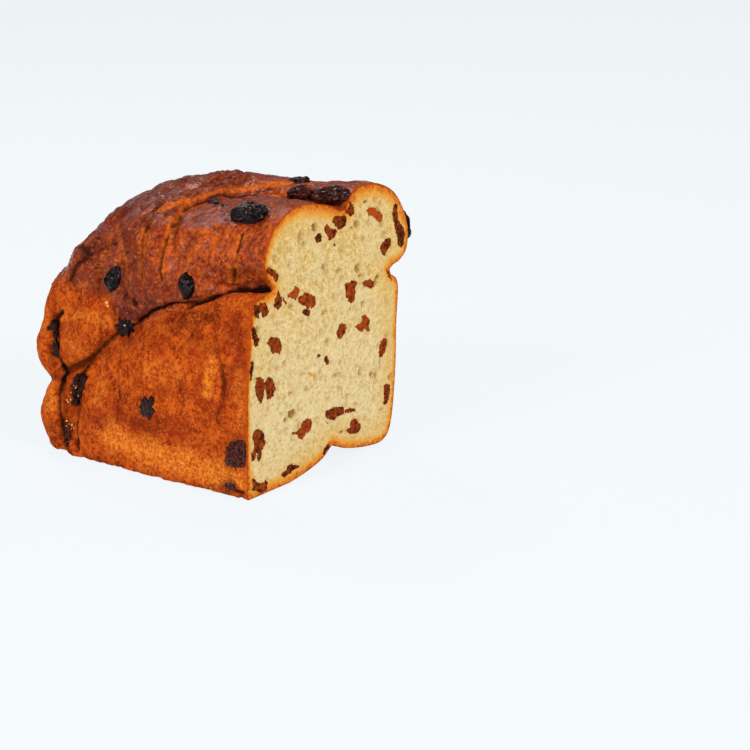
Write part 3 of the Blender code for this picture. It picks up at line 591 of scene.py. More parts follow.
# The nodes of the baked raisins and of the cut ones
CRUST_NODES = [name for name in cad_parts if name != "loaf" and not name.startswith("cut_")]
CUT_NODES = [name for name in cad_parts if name.startswith("cut_")]


def smooth_step(value):
    value = np.clip(value, 0, 1)
    return value * value * (3 - 2 * value)


def to_part(points):
    """Millimetres from the cut to metres in the part's frame."""
    return (np.asarray(points, float) - (ORIGIN_X, ORIGIN_Y, 0)) * MM


def to_loaf(point):
    """Metres in the part's frame to millimetres from the cut."""
    return np.array(point) / MM + (ORIGIN_X, ORIGIN_Y, 0)


# Photo pixels
def photo_ray(pixel):
    right = CAMERA_FORWARD.cross(Vector((0, 0, 1))).normalized()
    up = right.cross(CAMERA_FORWARD)
    focal = LENS / SENSOR * PHOTO_SIZE
    across = (pixel[0] - PHOTO_SIZE / 2) / focal
    down = (pixel[1] - PHOTO_SIZE / 2) / focal
    return (CAMERA_FORWARD + right * across - up * down).normalized()


def tree_of(*pieces):
    """A search tree over the faces of several pieces."""
    points, faces = [], []
    for piece in pieces:
        start = len(points)
        points += [v.co.copy() for v in piece.data.vertices]
        faces += [[start + i for i in p.vertices] for p in piece.data.polygons]
    return BVHTree.FromPolygons(points, faces)


LOAF_TREE = tree_of(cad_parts["loaf"])
PHOTO_MIDDLE = Vector((220, 330))


def on_crust(pixel, tree=LOAF_TREE, with_normal=False):
    """The place on the loaf that a pixel shows. One just outside its edge moves in until it meets it."""
    pixel = Vector(pixel)
    inward = (PHOTO_MIDDLE - pixel).normalized()
    for _ in range(20):
        hit, normal = tree.ray_cast(CAMERA_AT, photo_ray(pixel))[:2]
        if hit:
            return (to_loaf(hit), np.array(normal)) if with_normal else to_loaf(hit)
        pixel = pixel + inward
    raise ValueError("the pixel lies far outside the loaf")


def on_cut(pixel):
    """The (x, z) of a pixel on the plane of the cut face."""
    ray = photo_ray(pixel)
    cut_y = -ORIGIN_Y * MM
    hit = CAMERA_AT + ray * ((cut_y - CAMERA_AT.y) / ray.y)
    return to_loaf(hit)[[0, 2]]


# Outlines and sections
def spline_through(points, steps=12):
    """A closed Catmull-Rom curve through the points."""
    knots = np.array(points, float)
    before, after = np.roll(knots, 1, axis=0), np.roll(knots, -1, axis=0)
    beyond = np.roll(knots, -2, axis=0)
    t = np.linspace(0, 1, steps, endpoint=False)[None, :, None]
    p0, p1, p2, p3 = (k[:, None, :] for k in (before, knots, after, beyond))
    curve = 0.5 * (
        2 * p1
        + (p2 - p0) * t
        + (2 * p0 - 5 * p1 + 4 * p2 - p3) * t**2
        + (3 * p1 - p0 - 3 * p2 + p3) * t**3
    )
    return curve.reshape(-1, 2)


def radius_of(outline, angles):
    """The outline's distance from the loaf's axis in each direction."""
    curve = spline_through(outline) - (AXIS_X, AXIS_Z)
    turn = np.arctan2(curve[:, 1], curve[:, 0])
    order = np.argsort(turn)
    reach = np.hypot(curve[:, 0], curve[:, 1])[order]
    wrapped = (angles + math.pi) % (2 * math.pi) - math.pi
    return np.interp(wrapped, turn[order], reach, period=2 * math.pi)


def section_radius(angles, y):
    """Radius at each angle and distance from the cut, before the far end rounds off."""
    cut, mid, far = (radius_of(o, angles) for o in (CUT_OUTLINE, MID_OUTLINE, FAR_OUTLINE))
    to_mid = smooth_step(y / MID_SECTION)
    to_far = smooth_step((y - MID_SECTION) / (FAR_SECTION - MID_SECTION))
    return (cut * (1 - to_mid) + mid * to_mid) * (1 - to_far) + far * to_far


def base_form(angles, along):
    """Points of the plain form. along is 0 to 1 down the sides, then 1 to 2 round the far end."""
    upward = smooth_step((np.sin(angles) + 0.02) / 0.72)
    start = END_START_WALL + (END_START_TOP - END_START_WALL) * upward
    power = END_SHARPNESS_WALL + (END_SHARPNESS_TOP - END_SHARPNESS_WALL) * upward
    quarter = np.clip(along - 1, 0, 1) * math.pi / 2
    y = start * np.clip(along, 0, 1) + (LENGTH - start) * np.sin(quarter) ** (2 / power)
    shrink = np.clip(np.cos(quarter), 0, 1) ** (2 / power)
    reach = section_radius(angles, y) * shrink
    return np.stack([AXIS_X + reach * np.cos(angles), y, AXIS_Z + reach * np.sin(angles)], axis=-1)


# Relief, as in the solids' source
def distance_to_line(points, line):
    """Distance from each point to a chain of straight pieces."""
    nearest = np.full(points.shape[:-1], np.inf)
    knots = np.array(line, float)
    for a, b in zip(knots[:-1], knots[1:]):
        edge = b - a
        share = np.clip(((points - a) @ edge) / (edge @ edge), 0, 1)
        gap = np.linalg.norm(points - a - share[..., None] * edge, axis=-1)
        nearest = np.minimum(nearest, gap)
    return nearest


def groove(gap, depth, reach):
    """A sharp valley with round shoulders, as where two strands of dough meet."""
    near = np.clip(1 - gap / reach, 0, 1)
    return -depth * (1 - np.sqrt(1 - near**2))


def noise_field(points, size, seed=0, stretch=(1, 1, 1)):
    """Smooth noise between about -1 and 1, with features of that size."""
    drift = Vector((seed * 7.3, seed * 3.1, seed * 1.7))
    scaled = points.reshape(-1, 3) / (np.array(stretch) * size)
    values = [noise.noise(Vector(p) + drift) for p in scaled]
    return np.array(values).reshape(points.shape[:-1])


def lumps(points):
    """Slow unevenness of the baked dough."""
    height = np.zeros(points[..., 0].size)
    for shift, (size, rise) in enumerate((WIDE_LUMPS, SMALL_LUMPS)):
        drift = Vector((7, 3, 1)) * shift
        height += [rise * noise.noise(Vector(p) / size + drift) for p in points.reshape(-1, 3)]
    return height.reshape(points.shape[:-1])


def swelling(points):
    height = np.zeros(points.shape[:-1])
    for centre, reach, rise in SWELLINGS:
        gap = np.linalg.norm(points - np.array(centre, float), axis=-1)
        height += rise * smooth_step(1 - gap / reach)
    return height


def deepest_groove(points, lines):
    deepest = np.zeros(points.shape[:-1])
    for line, depth, reach in lines.values():
        deepest = np.minimum(deepest, groove(distance_to_line(points, line), depth, reach))
    return deepest


def relief(points):
    settled = smooth_step(points[..., 1] / CUT_FADE)
    off_base = smooth_step(points[..., 2] / BASE_FADE)
    uneven = deepest_groove(points, FOLDS) + swelling(points) + lumps(points) * off_base
    crease_share = CREASE_SHARE_AT_CUT + (1 - CREASE_SHARE_AT_CUT) * settled
    return deepest_groove(points, CREASES) * crease_share + uneven * settled


def surface_normals(grid):
    """Outward normals of a grid whose rows run round the loaf."""
    across = np.roll(grid, -1, axis=1) - np.roll(grid, 1, axis=1)
    down = np.gradient(grid, axis=0)
    normal = np.cross(down, across)
    size = np.linalg.norm(normal, axis=-1, keepdims=True)
    normal = normal / np.maximum(size, 1e-9)
    inward = np.sum(normal * (grid - (AXIS_X, LENGTH / 2, AXIS_Z)), axis=-1) < 0
    normal[inward] *= -1
    return normal


def crust_angles():
    """Directions round the loaf, closer together on the left side and the top, which the photo shows."""
    fine = np.linspace(0, 2 * math.pi, 6001)
    reach = section_radius(fine, np.full(fine.shape, MID_SECTION / 2))
    points = np.stack([reach * np.cos(fine), reach * np.sin(fine)], axis=-1)
    step = np.linalg.norm(np.diff(points, axis=0), axis=-1)
    middle = (fine[1:] + fine[:-1]) / 2
    shown = smooth_step((middle - 0.6) / 0.3) * smooth_step((4.15 - middle) / 0.2)
    travelled = np.concatenate([[0], np.cumsum(step * (0.42 + 0.58 * shown))])
    return np.interp(np.linspace(0, travelled[-1], AROUND, endpoint=False), travelled, fine)


def coarse_crust():
    """The crust's form, as the solid has it, on a fine grid."""
    sides = np.linspace(0, 1, ALONG, endpoint=False)
    steps = np.concatenate([sides, np.linspace(1, LAST_ROW, END_RINGS)])
    angle_grid, step_grid = np.meshgrid(crust_angles(), steps)
    grid = base_form(angle_grid, step_grid)
    normal = surface_normals(grid)
    end_on = smooth_step((step_grid - 1.6) / 0.3)[..., None]
    normal = normal * (1 - end_on) + np.array([0, 1, 0]) * end_on
    normal[0, :, 1] = 0
    grid = grid + normal * relief(grid)[..., None]
    grid[0, :, 1] = 0
    grid[..., 2] = np.maximum(grid[..., 2], 0)
    return grid


def point_tree(points):
    """A search tree over points of three numbers, or of two with 0 as the third."""
    tree = KDTree(len(points))
    for i, point in enumerate(points):
        tree.insert((*point, 0)[:3], i)
    tree.balance()
    return tree


def raisin_halo(grid):
    """How near each place is to a baked raisin, 1 against it and 0 from HALO on."""
    corners = [to_loaf(v.co) for name in CRUST_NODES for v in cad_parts[name].data.vertices]
    tree = point_tree(corners)
    gap = np.array([tree.find(p)[2] for p in grid.reshape(-1, 3)]).reshape(grid.shape[:-1])
    return smooth_step(1 - gap / HALO)


def main_masks(grid, lines):
    """Where the crust is glossy roof or torn, where shade is painted, where it is burnt or has painted shade
    round raisins and under the lobes, and where it is pale, each from 0 to 1.
    """
    x, y, z = grid[..., 0], grid[..., 1], grid[..., 2]
    wander = noise_field(grid, 9, 3) * 4 + noise_field(grid, 3, 4) * 2
    ragged = noise_field(grid, 1.7, 9)
    left = np.interp(y, ROOF_BORDER_Y, ROOF_BORDER_LEFT)
    right = np.interp(y, ROOF_BORDER_Y, ROOF_BORDER_RIGHT)
    border = left + (right - left) * smooth_step((x + 10) / 20)
    masks = {"roof": smooth_step((z - border + wander) / 8 + 0.5)}
    for kind, patches in PHOTO_PATCHES.items():
        masks[kind] = np.zeros(grid.shape[:-1])
        for pixels, width, strength in patches:
            line = [on_crust(p) for p in pixels]
            gap = distance_to_line(grid, line) * (1 + 0.1 * wander) + 0.3 * ragged * min(width, 2)
            masks[kind] = np.maximum(masks[kind], strength * smooth_step(1.4 - gap / width))
    # Painted shade along the sharp lines
    for gap, _, _, darkness, width in lines:
        masks["painted_shade"] = np.maximum(masks["painted_shade"], darkness * smooth_step(1.5 - (gap + 0.3 * ragged) / width))
    # Painted shade along the creases between the strands
    for line, _, _ in CREASES.values():
        gap = distance_to_line(grid, line)
        masks["painted_shade"] = np.maximum(masks["painted_shade"], 0.5 * smooth_step(1 - gap / 2.5) * (y > 3))
    # Painted shade and burn round each baked raisin
    masks["burn_and_shade"] = np.maximum(masks["burn_and_shade"], 0.8 * raisin_halo(grid))
    masks["rim"] = smooth_step(1 - y / 3.2)
    return masks


def fine_relief(grid, lines, masks):
    """Wrinkles, pits and sharp lines that the solid is too coarse for. It adds the mask of the strings."""
    height = np.zeros(grid.shape[:-1])
    uneven = 0.85 + 0.35 * noise_field(grid, 6, 12)
    shake = 0.4 * noise_field(grid, 3.0, 13)
    for gap, depth, reach, _, _ in lines:
        height = np.minimum(height, groove(np.abs(gap + shake), depth, reach) * uneven)
    roof = masks["roof"]
    pulls = noise_field(grid, 7, 6, (2.0, 1, 2.0))
    ripples = np.abs(noise_field(grid, 3.2, 5, (2.2, 1, 2.2)))
    pimples = noise_field(grid, 1.7, 14)
    twist = on_crust(TWIST_PIXELS[1]) - on_crust(TWIST_PIXELS[0])
    twist = twist / np.linalg.norm(twist)
    drawn_out = grid - 0.8 * (grid @ twist)[..., None] * twist
    strings = 1 - 2.4 * np.abs(noise_field(drawn_out, 2.6, 16))
    twisted = smooth_step((grid[..., 1] - TWIST_START) / TWIST_FADE)
    height = height + roof * (0.8 * pulls - 0.9 * (1 - twisted) * ripples + 0.22 * pimples)
    height = height + roof * twisted * (0.9 * strings + 0.9 * noise_field(drawn_out, 6, 17))
    masks["string"] = 0.5 + 0.5 * strings * twisted
    grain = noise_field(grid, 2.4, 7)
    coarse = noise_field(grid, 7, 8)
    height = height + (1 - roof) * (0.2 * grain + 0.4 * coarse + 0.1 * pimples)
    height = height + 0.5 * masks["torn"] * noise_field(grid, 2.0, 15) - 0.3 * masks["burn_and_shade"] * (1 - roof)
    settled = smooth_step(grid[..., 1] / 3.0)
    off_base = smooth_step(grid[..., 2] / 2.0)
    return height * settled * off_base


def add_attributes(mesh_data, values):
    for name, value in values.items():
        attribute = mesh_data.attributes.new(name, "FLOAT", "POINT")
        attribute.data.foreach_set("value", np.asarray(value, np.float32).ravel())


def mesh_from(name, points, faces):
    mesh_data = bpy.data.meshes.new(name)
    mesh_data.from_pydata(points.tolist(), [], faces)
    mesh_data.update()
    mesh_data.shade_smooth()
    piece = bpy.data.objects.new(name, mesh_data)
    bpy.context.scene.collection.objects.link(piece)
    return piece


def face_outward(piece):
    shape = bmesh.new()
    shape.from_mesh(piece.data)
    bmesh.ops.recalc_face_normals(shape, faces=shape.faces)
    shape.to_mesh(piece.data)
    shape.free()


def build_crust():
    coarse = coarse_crust()
    lines = []
    for pixels, *shape in PHOTO_LINES.values():
        line = [on_crust(p) for p in pixels]
        lines.append((distance_to_line(coarse, line), *shape))
    masks = main_masks(coarse, lines)
    normals = surface_normals(coarse)
    masks["crown"] = smooth_step((normals[..., 2] - 0.5 + 0.3 * noise_field(coarse, 6, 33)) / 0.5)
    grid = coarse + normals * fine_relief(coarse, lines, masks)[..., None]
    grid[0, :, 1] = 0
    grid[..., 2] = np.maximum(grid[..., 2], 0)
    uneven = np.clip(noise_field(grid, 5, 31) + 0.5 * noise_field(grid, 2, 32), 0, 1)
    low = smooth_step(1 - grid[..., 2] / 2.0) * smooth_step(grid[..., 1] / 4)
    grid[..., 2] += 1.3 * uneven * low
    masks["burn_and_shade"] = np.maximum(masks["burn_and_shade"], low * smooth_step(1.2 * uneven + 0.35))
    rows, columns = grid.shape[:2]
    rim = grid[0]
    middle = np.array([AXIS_X, 0, AXIS_Z])
    reach = np.linalg.norm(rim - middle, axis=-1, keepdims=True)
    ring = middle + (rim - middle) * (1 - PLUG_INSET / reach) + (0, CAP_DEPTH, 0)
    tip = grid[-1].mean(axis=0) + (0, TIP_RISE, 0)
    points = np.concatenate([grid.reshape(-1, 3), [tip], ring, [middle + (0, CAP_DEPTH, 0)]])
    tip_at = rows * columns
    ring_at = tip_at + 1
    faces = []
    for i in range(columns):
        j = (i + 1) % columns
        faces += [(r * columns + i, r * columns + j, (r + 1) * columns + j, (r + 1) * columns + i)
                  for r in range(rows - 1)]
        faces.append(((rows - 1) * columns + i, (rows - 1) * columns + j, tip_at))
        faces.append((j, i, ring_at + i, ring_at + j))
        faces.append((ring_at + j, ring_at + i, ring_at + columns))
    crust = mesh_from("loaf_crust", to_part(points), faces)
    extra = len(points) - rows * columns
    add_attributes(crust.data, {k: np.concatenate([m.ravel(), np.zeros(extra)]) for k, m in masks.items()})
    face_outward(crust)
    return crust, rim[:, [0, 2]]


# Cut face
def even_loop(points, step):
    """A closed curve through the points, with its points evenly spaced."""
    curve = spline_through(points, 16)
    closed = np.vstack([curve, curve[:1]])
    travelled = np.concatenate([[0], np.cumsum(np.linalg.norm(np.diff(closed, axis=0), axis=1))])
    count = max(8, int(travelled[-1] / step))
    at = np.linspace(0, travelled[-1], count, endpoint=False)
    return np.stack([np.interp(at, travelled, closed[:, k]) for k in (0, 1)], axis=-1)


def ragged_loop(loop, seed, rough):
    """The loop with a torn edge."""
    middle = loop.mean(axis=0)
    out = (loop - middle) / np.maximum(np.linalg.norm(loop - middle, axis=1, keepdims=True), 1e-6)
    jag = [rough * noise.noise(Vector((x / 1.3, seed * 5.1, z / 1.3)))
           + rough * noise.noise(Vector((x / 0.6, seed * 3.3, z / 0.6))) for x, z in loop]
    return loop + out * np.array(jag)[:, None]


def grown(loop, by):
    """The loop moved outward along its own normals."""
    along = np.roll(loop, -1, axis=0) - np.roll(loop, 1, axis=0)
    out = np.stack([along[:, 1], -along[:, 0]], axis=-1)
    out = out / np.maximum(np.linalg.norm(out, axis=1, keepdims=True), 1e-6)
    turns = np.sum(loop[:, 0] * np.roll(loop[:, 1], -1) - np.roll(loop[:, 0], -1) * loop[:, 1])
    return loop + out * by * np.sign(turns)


def held_inside(loop, rim):
    """The loop moved and then squeezed so that all of it lies inside the cut face."""
    for _ in range(4):
        inset = signed_inset(loop, rim)
        worst = int(np.argmin(inset))
        if inset[worst] >= RAISIN_MARGIN:
            return loop
        inward = loop.mean(axis=0) - loop[worst]
        loop = loop + inward / np.linalg.norm(inward) * min(RAISIN_MARGIN - inset[worst], 0.5)
    inset = signed_inset(loop, rim)
    middle = loop.mean(axis=0)
    for i in np.nonzero(inset < RAISIN_MARGIN)[0]:
        inward = middle - loop[i]
        room = np.linalg.norm(inward)
        loop[i] += inward / room * min(RAISIN_MARGIN - inset[i], 0.8 * room)
    return loop


def signed_inset(points, loop):
    """Distance to a closed loop, positive inside it."""
    tree = point_tree(loop)
    gap = np.array([tree.find((x, z, 0))[2] for x, z in points])
    return np.where(inside_loop(points, loop), gap, -gap)


def inside_loop(points, loop):
    """Even-odd test of many points against one closed loop."""
    inside = np.zeros(len(points), bool)
    x, z = points[:, 0], points[:, 1]
    for (x0, z0), (x1, z1) in zip(loop, np.roll(loop, -1, axis=0)):
        crosses = (z0 > z) != (z1 > z)
        if z1 != z0:
            inside ^= crosses & (x < (x1 - x0) * (z - z0) / (z1 - z0) + x0)
    return inside


def jittered_grid(low, high, step, seed):
    draw = np.random.default_rng(seed)
    xs = np.arange(low[0], high[0], step)
    zs = np.arange(low[1], high[1], step * 0.866)
    x, z = np.meshgrid(xs, zs)
    x = x + (np.arange(len(zs)) % 2)[:, None] * step / 2
    points = np.stack([x.ravel(), z.ravel()], axis=-1)
    return points + draw.uniform(-0.16, 0.16, points.shape) * step


def triangulated(loops, points):
    """A flat triangle mesh through all points, with the loops as edges. The first loop bounds it."""
    corners = [Vector(p) for loop in loops for p in loop]
    edges, start = [], 0
    for loop in loops:
        n = len(loop)
        edges += [(start + i, start + (i + 1) % n) for i in range(n)]
        start += n
    corners += [Vector(p) for p in points]
    found = delaunay_2d_cdt(corners, edges, [], 1, 1e-5)
    return np.array([v[:] for v in found[0]]), [tuple(f) for f in found[2]]


def pore_field(points, inset):
    """Depth of the crumb's pores at each point, and how much of one it is."""
    draw = np.random.default_rng(PORE_SEED)
    low, high = points.min(axis=0), points.max(axis=0)
    centres = draw.uniform(low, high, (PORE_COUNT, 2))
    size = 0.42 + 0.5 * draw.pareto(3.2, PORE_COUNT)
    size = np.minimum(size, 1.9)
    shape = draw.uniform(1.0, 1.6, PORE_COUNT)
    turn = draw.uniform(0, math.pi, PORE_COUNT)
    depth = size * draw.uniform(0.25, 0.7, PORE_COUNT)
    rows = [(c[0], c[1], s, s * k, t, d) for c, s, k, t, d in zip(centres, size, shape, turn, depth)]
    for px, py, width, height, deep in PORES:
        x, z = on_cut((px, py))
        rows.append((x, z, width / 2, height / 2, math.pi / 2, deep * 1.5))
    tree = point_tree(points)
    deepest = np.zeros(len(points))
    share = np.zeros(len(points))
    uneven = 0.45 * noise_field(np.column_stack([points, np.zeros(len(points))]), 0.9, 24)
    for x, z, short, long, angle, deep in rows:
        c, s = math.cos(angle), math.sin(angle)
        for (px, pz, _), index, _ in tree.find_range((x, z, 0), max(short, long)):
            dx, dz = px - x, pz - z
            gap = math.hypot((dx * c + dz * s) / long, (dz * c - dx * s) / short) + uneven[index]
            if gap < 1:
                bowl = 1 - max(gap, 0) ** 2
                deepest[index] = max(deepest[index], deep * bowl)
                share[index] = max(share[index], bowl)
    return deepest * smooth_step(inset / 1.5), share


def rim_width(points):
    """How thick the baked rim is near each point of the cut face."""
    places = np.array(RIM_WIDTHS)
    turn = np.arctan2(places[:, 1] - AXIS_Z, places[:, 0] - AXIS_X)
    order = np.argsort(turn)
    at = np.arctan2(points[:, 1] - AXIS_Z, points[:, 0] - AXIS_X)
    return np.interp(at, turn[order], places[order, 2], period=2 * math.pi)


def at_depth(flat, y):
    """(x, z) points at that distance from the cut."""
    return np.column_stack([flat[:, 0], np.broadcast_to(y, len(flat)), flat[:, 1]])


def close_back(faces, count, ring_at):
    """Adds walls from an outline to the ring behind it, and a fan to the point that follows the ring."""
    for i in range(count):
        j = (i + 1) % count
        faces.append((i, j, ring_at + j, ring_at + i))
        faces.append((ring_at + i, ring_at + j, ring_at + count))


def build_crumb(rim, raisin_loops):
    low, high = rim.min(axis=0), rim.max(axis=0)
    points = jittered_grid(low, high, CRUMB_STEP, GRID_SEED)
    inset = signed_inset(points, rim)
    points = points[inset > 0.35]
    flat, faces = triangulated([rim], points)
    inset = np.maximum(signed_inset(flat, rim), 0)
    on_rim = inset < 1e-4
    depth, pore = pore_field(flat, inset)
    place = at_depth(flat, 0.0)
    rough = 0.14 * noise_field(place, 2.1, 21) + 0.14 * noise_field(place, 1.1, 22)
    rough += 0.2 * noise_field(place, 9, 23)
    pocket = np.zeros(len(flat))
    for loop in raisin_loops:
        near = np.linalg.norm(flat - loop.mean(axis=0), axis=1) < 12
        if near.any():
            sunk = signed_inset(flat[near], loop)
            pocket[near] = np.maximum(pocket[near], smooth_step((sunk - POCKET_INSET) / 0.3))
    y = (depth + rough) * smooth_step(inset / 1.2) + pocket * POCKET_DEPTH
    y = np.clip(y, -0.4, None)
    y = np.minimum(y, inset * 1.1)
    y[on_rim] = 0
    front = at_depth(flat, y)
    middle = np.array([AXIS_X, AXIS_Z])
    reach = np.linalg.norm(rim - middle, axis=1, keepdims=True)
    ring = middle + (rim - middle) * (1 - PLUG_INSET / reach)
    back = at_depth(ring, PLUG_DEPTH)
    close_back(faces, len(rim), len(front))
    every = np.concatenate([front, back, [(AXIS_X, PLUG_DEPTH, AXIS_Z)]])
    crumb = mesh_from("loaf_crumb", to_part(every), faces)
    extra = len(every) - len(front)
    ratio = np.clip(inset / rim_width(flat) / 3, 0, 1)
    warm = np.clip(1 - inset / 15, 0, 1) * (0.3 + 0.7 * smooth_step((flat[:, 0] + 42) / 25))
    milky = smooth_step((84 - flat[:, 1]) / 50) * (1 - warm)
    values = {"pore": pore, "ratio": ratio, "warm": warm, "pocket": pocket, "milky": milky,
              "hollow": np.clip(depth / 1.6, 0, 1)}
    add_attributes(crumb.data, {k: np.concatenate([v, np.ones(extra)]) for k, v in values.items()})
    face_outward(crumb)
    return crumb


# Raisins
def closed_patch(loop, height_of, seed):
    """A patch inside the loop, its height the third number, closed by a smaller flat back."""
    points = jittered_grid(loop.min(axis=0), loop.max(axis=0), RAISIN_STEP, seed)
    points = points[signed_inset(points, loop) > 0.6 * RAISIN_STEP]
    flat, faces = triangulated([loop], points)
    inset = np.maximum(signed_inset(flat, loop), 0)
    inset[:len(loop)] = 0
    height = height_of(flat, inset)
    n = len(loop)
    middle = loop.mean(axis=0)
    shrunk = middle + (loop - middle) * 0.7
    close_back(faces, n, len(flat))
    every = np.concatenate([flat, shrunk, [middle]])
    height = np.concatenate([height, np.full(n + 1, RAISIN_BACK)])
    return np.column_stack([every, height]), faces, np.concatenate([inset, np.zeros(n + 1)])


def cut_raisin(loop, seed, tone):
    """A raisin cut through, its rough front just under the cut face."""
    level = -0.06 - 0.1 * abs(noise.noise(Vector((seed * 1.9, 0, 3))))

    def height_of(flat, inset):
        place = at_depth(flat, seed * 3.0)
        wrinkle = 0.3 * noise_field(place, 1.3, seed) + 0.5 * noise_field(place, 3.2, seed + 1)
        return level + wrinkle * np.clip(inset / 0.8, 0.2, 1) - 0.1 * np.clip(1 - inset / 0.3, 0, 1)

    points, faces, inset = closed_patch(loop, height_of, seed)
    placed = at_depth(points, -points[:, 2])
    return placed, faces, np.clip(inset / 1.2, 0, 1), np.full(len(placed), tone)


def joined(name, parts):
    """One piece out of several sets of points and faces."""
    starts = np.cumsum([0] + [len(p[0]) for p in parts])
    faces = [tuple(i + start for i in face) for p, start in zip(parts, starts) for face in p[1]]
    piece = mesh_from(name, to_part(np.concatenate([p[0] for p in parts])), faces)
    face_outward(piece)
    return piece


def build_cut_raisins(rim):
    loops, parts = [], []
    shapes = list(CUT_RAISINS.values()) + list(CUT_BITS.values())
    for seed, (tone, pixels) in enumerate(shapes):
        growth = RAISIN_GROWTH if seed < len(CUT_RAISINS) else BIT_GROWTH
        loop = grown(even_loop([on_cut(p) for p in pixels], 0.28), growth)
        loop = ragged_loop(loop, seed, 0.5)
        loop = held_inside(loop, rim)
        loops.append(loop)
        parts.append(cut_raisin(loop, seed + 30, tone))
    raisins = joined("raisins_cut", parts)
    add_attributes(raisins.data, {
        "edge": np.concatenate([p[2] for p in parts]),
        "tone": np.concatenate([p[3] for p in parts]),
    })
    return raisins, loops


def wrinkles(places, seed, long_axis=None):
    """Ridges and furrows of a dried skin, from about -1 to 1."""
    heights = []
    for place in places:
        local = Vector(place)
        if long_axis is not None:
            local = local - long_axis * local.dot(long_axis) * 0.5
        wide = 3.0 * abs(noise.noise(local / 3.4 + Vector((seed * 9.1, 0, 0)))) - 0.8
        fine = 3.0 * abs(noise.noise(local / 1.5 + Vector((0, seed * 4.3, 0)))) - 0.8
        heights.append(0.85 * wide + 0.3 * fine)
    return np.array(heights)


def whole_raisin(node, seed):
    """A wrinkled raisin in the space that its solid holds."""
    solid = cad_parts[node].data
    corners = np.array([to_loaf(v.co) for v in solid.vertices])
    middle = corners.mean(axis=0)
    tree = BVHTree.FromPolygons([Vector(c) for c in corners], [p.vertices[:] for p in solid.polygons])
    ball = bmesh.new()
    bmesh.ops.create_icosphere(ball, subdivisions=5, radius=1)
    for v in ball.verts:
        v.co = tree.ray_cast(Vector(middle), v.co)[0] or Vector(middle) + v.co * 3
    every_axis = {"use_axis_x": True, "use_axis_y": True, "use_axis_z": True}
    for _ in range(8):
        bmesh.ops.smooth_vert(ball, verts=ball.verts, factor=0.5, **every_axis)
    spread = np.linalg.svd(corners - middle, full_matrices=False)[2]
    long_axis = Vector(spread[0])
    along, across, shift = WHOLE_SHAPES.get(node, (1.0, 1.0, (0, 0, 0)))
    for v in ball.verts:
        local = v.co - Vector(middle)
        lengthwise = long_axis * local.dot(long_axis)
        v.co = Vector(middle) + Vector(shift) + lengthwise * along + (local - lengthwise) * across
    ball.normal_update()
    rise = wrinkles([v.co - Vector(middle) for v in ball.verts], seed, long_axis)
    for v, lift in zip(ball.verts, rise):
        v.co += v.normal * (0.9 * lift - 0.1)
    points = np.array([v.co[:] for v in ball.verts])
    faces = [tuple(v.index for v in f.verts) for f in ball.faces]
    ball.free()
    return points, faces


def sunk_raisin(proud, pixels, seed, crust_tree):
    """A raisin baked into the side, with the outline that the photo shows."""
    hits = [on_crust(p, crust_tree, True) for p in pixels]
    places = np.array([h[0] for h in hits])
    middle = places.mean(axis=0)
    out = Vector(np.mean([h[1] for h in hits], axis=0)).normalized()
    across = out.cross(Vector((0, 0, 1))).normalized()
    up = across.cross(out)
    local = (places - middle) @ np.array([across, up]).T
    loop = ragged_loop(grown(even_loop(local, 0.3), SUNK_EDGE), seed, 0.25)

    def height_of(flat, inset):
        ground = []
        for x, z in flat:
            start = Vector(to_part(middle)) + (across * x + up * z + out * 12) * MM
            hit = crust_tree.ray_cast(start, -out, 24 * MM)[0]
            ground.append((to_loaf(hit) - middle) @ np.array(out) if hit else np.nan)
        ground = np.array(ground)
        level = np.nanmean(ground)
        flat_share = 0.3 if proud > 0.5 else 0.0
        ground = (1 - flat_share) * np.where(np.isnan(ground), level, ground) + flat_share * level
        dome = np.sqrt(1 - (1 - np.clip(inset / max(0.8 * inset.max(), 1), 0, 1)) ** 2)
        skin = wrinkles(np.column_stack([flat, np.full(len(flat), seed * 2.0)]), seed)
        edge = np.clip(1 - inset / 0.5, 0, 1)
        return ground + (proud + 0.2) * dome + 0.5 * skin * np.clip(inset / 0.8, 0, 1) - 1.0 * edge

    points, faces, _ = closed_patch(loop, height_of, seed)
    placed = middle + points @ np.array([across, up, out])
    return placed, faces


def build_baked_raisins(crust):
    crust_tree = tree_of(crust)
    parts, brown = [], []
    for seed, node in enumerate(CRUST_NODES):
        if node in BAKED_OUTLINES:
            proud, pixels = BAKED_OUTLINES[node]
            parts.append(sunk_raisin(proud, pixels, seed, crust_tree))
        else:
            parts.append(whole_raisin(node, seed))
        brown.append(np.full(len(parts[-1][0]), BROWN_RAISINS.get(node, 0.0)))
    raisins = joined("raisins_baked", parts)
    add_attributes(raisins.data, {"brown": np.concatenate(brown)})
    return raisins


def build_stuck_crumbs(*carriers):
    """Small crumbs of dough on the crust and its raisins."""
    tree = tree_of(*carriers)
    draw = np.random.default_rng(CRUMB_SEED)
    parts = []
    for x, y, radius in STUCK_CRUMBS:
        hit = tree.ray_cast(CAMERA_AT, photo_ray((x, y)))[0]
        ball = bmesh.new()
        bmesh.ops.create_icosphere(ball, subdivisions=3, radius=radius)
        stretch = draw.uniform(0.8, 1.25, 3)
        rough = [1 + 0.5 * noise.noise(v.co / radius + Vector((x, y, 0))) for v in ball.verts]
        places = [to_loaf(hit) + np.array(v.co[:]) * stretch * r for v, r in zip(ball.verts, rough)]
        parts.append((np.array(places), [tuple(v.index for v in f.verts) for f in ball.faces]))
        ball.free()
    return joined("crumbs", parts)


# Materials
def linear(red, green, blue):
    """A colour given as 0 to 255, as the shader takes it."""
    shares = [c / 255 for c in (red, green, blue)]
    return tuple(s / 12.92 if s <= 0.04045 else ((s + 0.055) / 1.055) ** 2.4 for s in shares)


